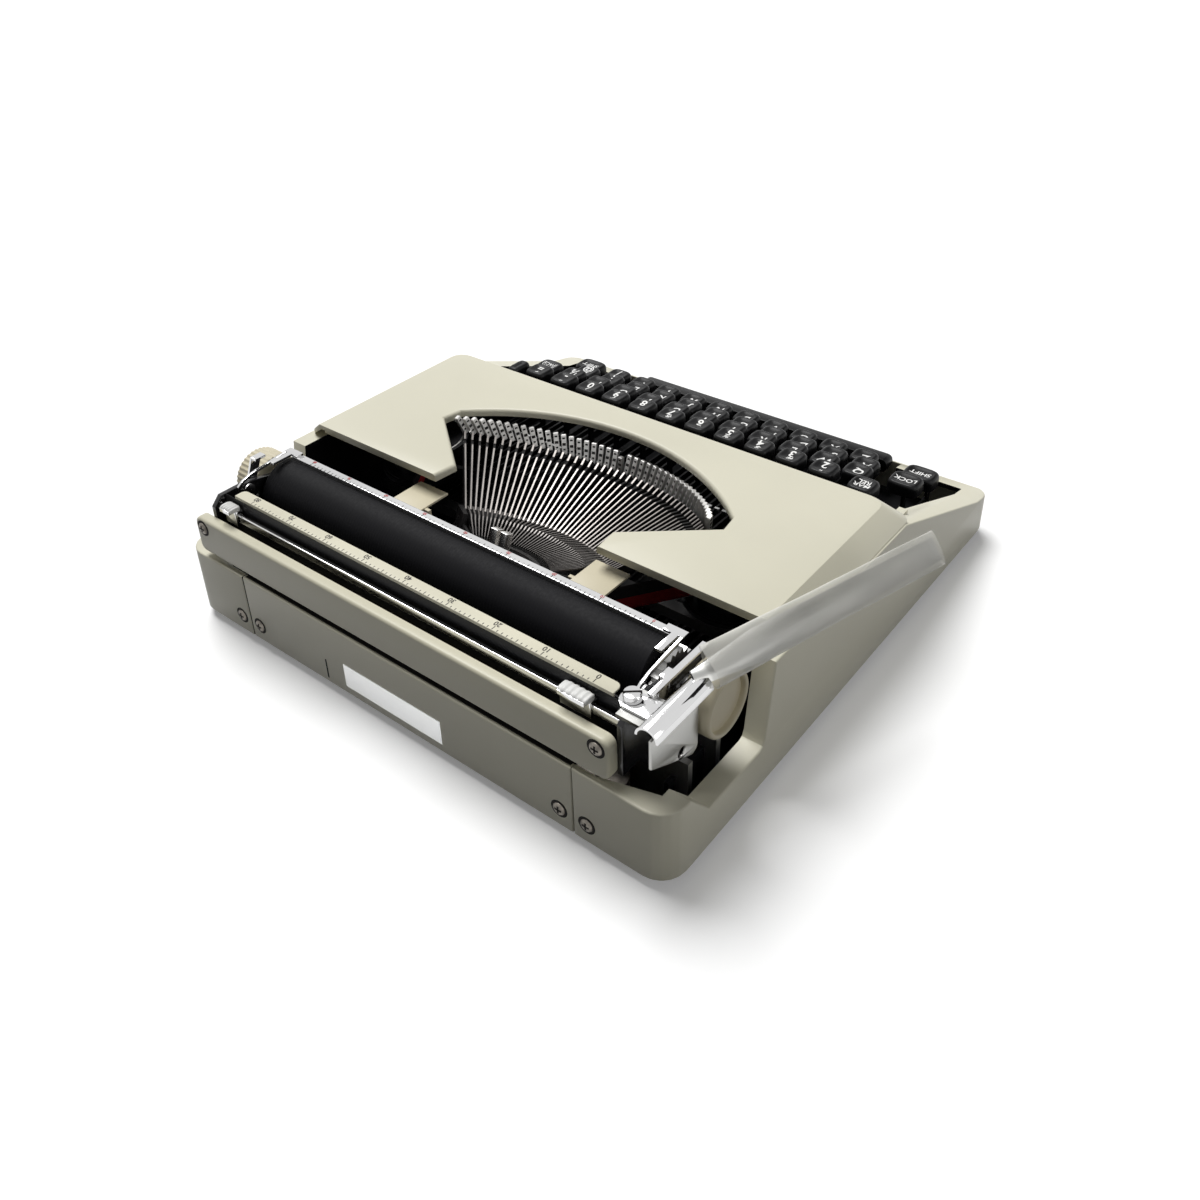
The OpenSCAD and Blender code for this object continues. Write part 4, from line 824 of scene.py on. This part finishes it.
def clear_film():
    """Milky film: a pale gloss whose cover varies in long soft streaks."""
    mat = finish("clear_film", (0.88, 0.87, 0.80), 0.24, gloss=0.6)
    nt = mat.node_tree
    place = nt.nodes.new("ShaderNodeMapping")
    place.inputs["Rotation"].default_value = (0, 0, LEVER_TURNS[2])
    place.inputs["Scale"].default_value = (70.0, 7.0, 70.0)
    nt.links.new(nt.nodes["Texture Coordinate"].outputs["Object"], place.inputs["Vector"])
    streak = nt.nodes.new("ShaderNodeTexNoise")
    streak.inputs["Scale"].default_value = 1.0
    streak.inputs["Detail"].default_value = 1.0
    nt.links.new(place.outputs[0], streak.inputs["Vector"])
    cover = nt.nodes.new("ShaderNodeMapRange")
    cover.inputs["From Min"].default_value = 0.3
    cover.inputs["From Max"].default_value = 0.7
    cover.inputs["To Min"].default_value = 0.26
    cover.inputs["To Max"].default_value = 0.58
    nt.links.new(streak.outputs["Fac"], cover.inputs["Value"])
    edge = nt.nodes.new("ShaderNodeLayerWeight")
    edge.inputs["Blend"].default_value = 0.25
    both = nt.nodes.new("ShaderNodeMath")
    both.operation = "MULTIPLY_ADD"
    both.inputs[1].default_value = 0.6
    nt.links.new(edge.outputs["Facing"], both.inputs[0])
    nt.links.new(cover.outputs["Result"], both.inputs[2])
    nt.links.new(both.outputs[0], nt.nodes["Principled BSDF"].inputs["Alpha"])
    return mat


lever = softened("return_lever", 0.3)
blade = split_off(lever, "lever_blade", lambda x, y, z, normal: y < BLADE_Y)
dress(lever, chrome, "nickel", "lever", "return_lever")
dress(blade, satin, "nickel", "lever")
made("film_tube", creased_tube(), clear_film(), "film", "lever", "lever_sleeve", smooth=True)
made("pivot_screw", turned(PIVOT_HEAD, PIVOT), chrome, "steel", "carriage", smooth=True, split=40)
# The screw's slot is a dark strip of painted shade.
slot, faces = slabs(*PIVOT_SLOT)
c, s = math.cos(SLOT_TURN), math.sin(SLOT_TURN)
slot[:, :2] = slot[:, :2] @ np.array([[c, s], [-s, c]])
made("pivot_slot", (slot + PIVOT, faces), dark, "black_paint", "carriage")

# Room: a white floor and sky that keep the machine's shadow, a black card for the bright metal to
# mirror, one broad high light from the machine's right and a weak one from its left. The camera
# stands where the photograph was taken.
FLOOR_HALF = 6.0
CARD = (-1300.0, -1505.0, 800.0), (150.0, -1500.0, 2100.0)
PHOTO_PX, FOCAL_PX, CENTRE_PX = 1200, 1139.690, (597.389, 441.055)
SENSOR = 36.0
EYE = (-306.486, 382.609, 362.109)
AZIMUTH, ELEVATION, ROLL = (math.radians(a) for a in (219.0944, 30.1582, -1.7072))


def seen_white(tree):
    """One where a ray comes from the camera, a mirror or a clear surface, nought for all other light."""
    path = tree.nodes.new("ShaderNodeLightPath")
    total = path.outputs["Is Camera Ray"]
    for name in ("Is Glossy Ray", "Is Transmission Ray"):
        both = tree.nodes.new("ShaderNodeMath")
        both.operation = "MAXIMUM"
        tree.links.new(total, both.inputs[0])
        tree.links.new(path.outputs[name], both.inputs[1])
        total = both.outputs[0]
    return total


def white_floor():
    """Matt floor: dull for scattered light; for the eye a white that the shadow darkens."""
    mat = bpy.data.materials.new("white_floor")
    mat.use_nodes = True
    nt = mat.node_tree
    nt.nodes.clear()
    out = nt.nodes.new("ShaderNodeOutputMaterial")
    dull = nt.nodes.new("ShaderNodeBsdfDiffuse")
    dull.inputs["Color"].default_value = (0.12, 0.12, 0.12, 1)
    pale = nt.nodes.new("ShaderNodeBsdfDiffuse")
    pale.inputs["Color"].default_value = (0.92, 0.92, 0.92, 1)
    glow = nt.nodes.new("ShaderNodeEmission")
    glow.inputs["Strength"].default_value = 0.19
    both = nt.nodes.new("ShaderNodeAddShader")
    nt.links.new(pale.outputs[0], both.inputs[0])
    nt.links.new(glow.outputs[0], both.inputs[1])
    mix = nt.nodes.new("ShaderNodeMixShader")
    nt.links.new(seen_white(nt), mix.inputs[0])
    nt.links.new(dull.outputs[0], mix.inputs[1])
    nt.links.new(both.outputs[0], mix.inputs[2])
    nt.links.new(mix.outputs[0], out.inputs[0])
    return mat


corners = FLOOR_HALF * np.array([[-1, -1, 0], [1, -1, 0], [1, 1, 0], [-1, 1, 0]])
floor = put_mesh("floor", corners, [[0, 1, 2, 3]], False)
floor.data.materials.append(white_floor())

verts, faces = slabs(*CARD)
card = put_mesh("dark_card", metres(verts), faces, False)
card.data.materials.append(finish("card_black", (0.01, 0.01, 0.01), 0.9))
card.visible_camera = False
card.visible_diffuse = False
card.visible_shadow = False

world = bpy.data.worlds.new("studio")
bpy.context.scene.world = world
world.use_nodes = True
wn = world.node_tree
sky = wn.nodes["Background"]
sky.inputs["Color"].default_value = (1, 1, 1, 1)
sky.inputs["Strength"].default_value = 0.105
white = wn.nodes.new("ShaderNodeBackground")
white.inputs["Strength"].default_value = 1.0
white.inputs["Color"].default_value = (1, 1, 1, 1)
mixer = wn.nodes.new("ShaderNodeMixShader")
wn.links.new(seen_white(wn), mixer.inputs[0])
wn.links.new(sky.outputs[0], mixer.inputs[1])
wn.links.new(white.outputs[0], mixer.inputs[2])
wn.links.new(mixer.outputs[0], wn.nodes["World Output"].inputs[0])


def sun(name, toward, strength, spread):
    """A far broad lamp that shines from the given direction."""
    data = bpy.data.lights.new(name, "SUN")
    data.energy = strength
    data.angle = math.radians(spread)
    obj = bpy.data.objects.new(name, data)
    bpy.context.scene.collection.objects.link(obj)
    obj.location = Vector(toward) * 2
    obj.rotation_euler = (-Vector(toward)).to_track_quat("-Z", "Y").to_euler()


sun("high_lamp", (0.40, -0.15, 0.90), 2.98, 32)
sun("left_lamp", (-0.9, -0.02, 0.35), 0.42, 30)

cam_data = bpy.data.cameras.new("camera")
cam_data.sensor_width = SENSOR
cam_data.lens = SENSOR * FOCAL_PX / PHOTO_PX
cam_data.shift_x = 0.5 - CENTRE_PX[0] / PHOTO_PX
cam_data.shift_y = CENTRE_PX[1] / PHOTO_PX - 0.5
cam_data.clip_start = 0.01
cam_data.dof.use_dof = False
cam = bpy.data.objects.new("camera", cam_data)
bpy.context.scene.collection.objects.link(cam)
level = math.cos(ELEVATION)
back = np.array([math.sin(AZIMUTH) * level, -math.cos(AZIMUTH) * level, math.sin(ELEVATION)])
right = np.cross(-back, [0, 0, 1.0])
right /= np.linalg.norm(right)
up = np.cross(right, -back)
rolled_right = right * math.cos(ROLL) + up * math.sin(ROLL)
rolled_up = up * math.cos(ROLL) - right * math.sin(ROLL)
stand = np.eye(4)
stand[:3] = np.stack([rolled_right, rolled_up, back, metres([EYE])[0]], 1)
cam.matrix_world = Matrix(stand.tolist())
bpy.context.scene.camera = cam
bpy.context.scene.view_settings.view_transform = "Standard"
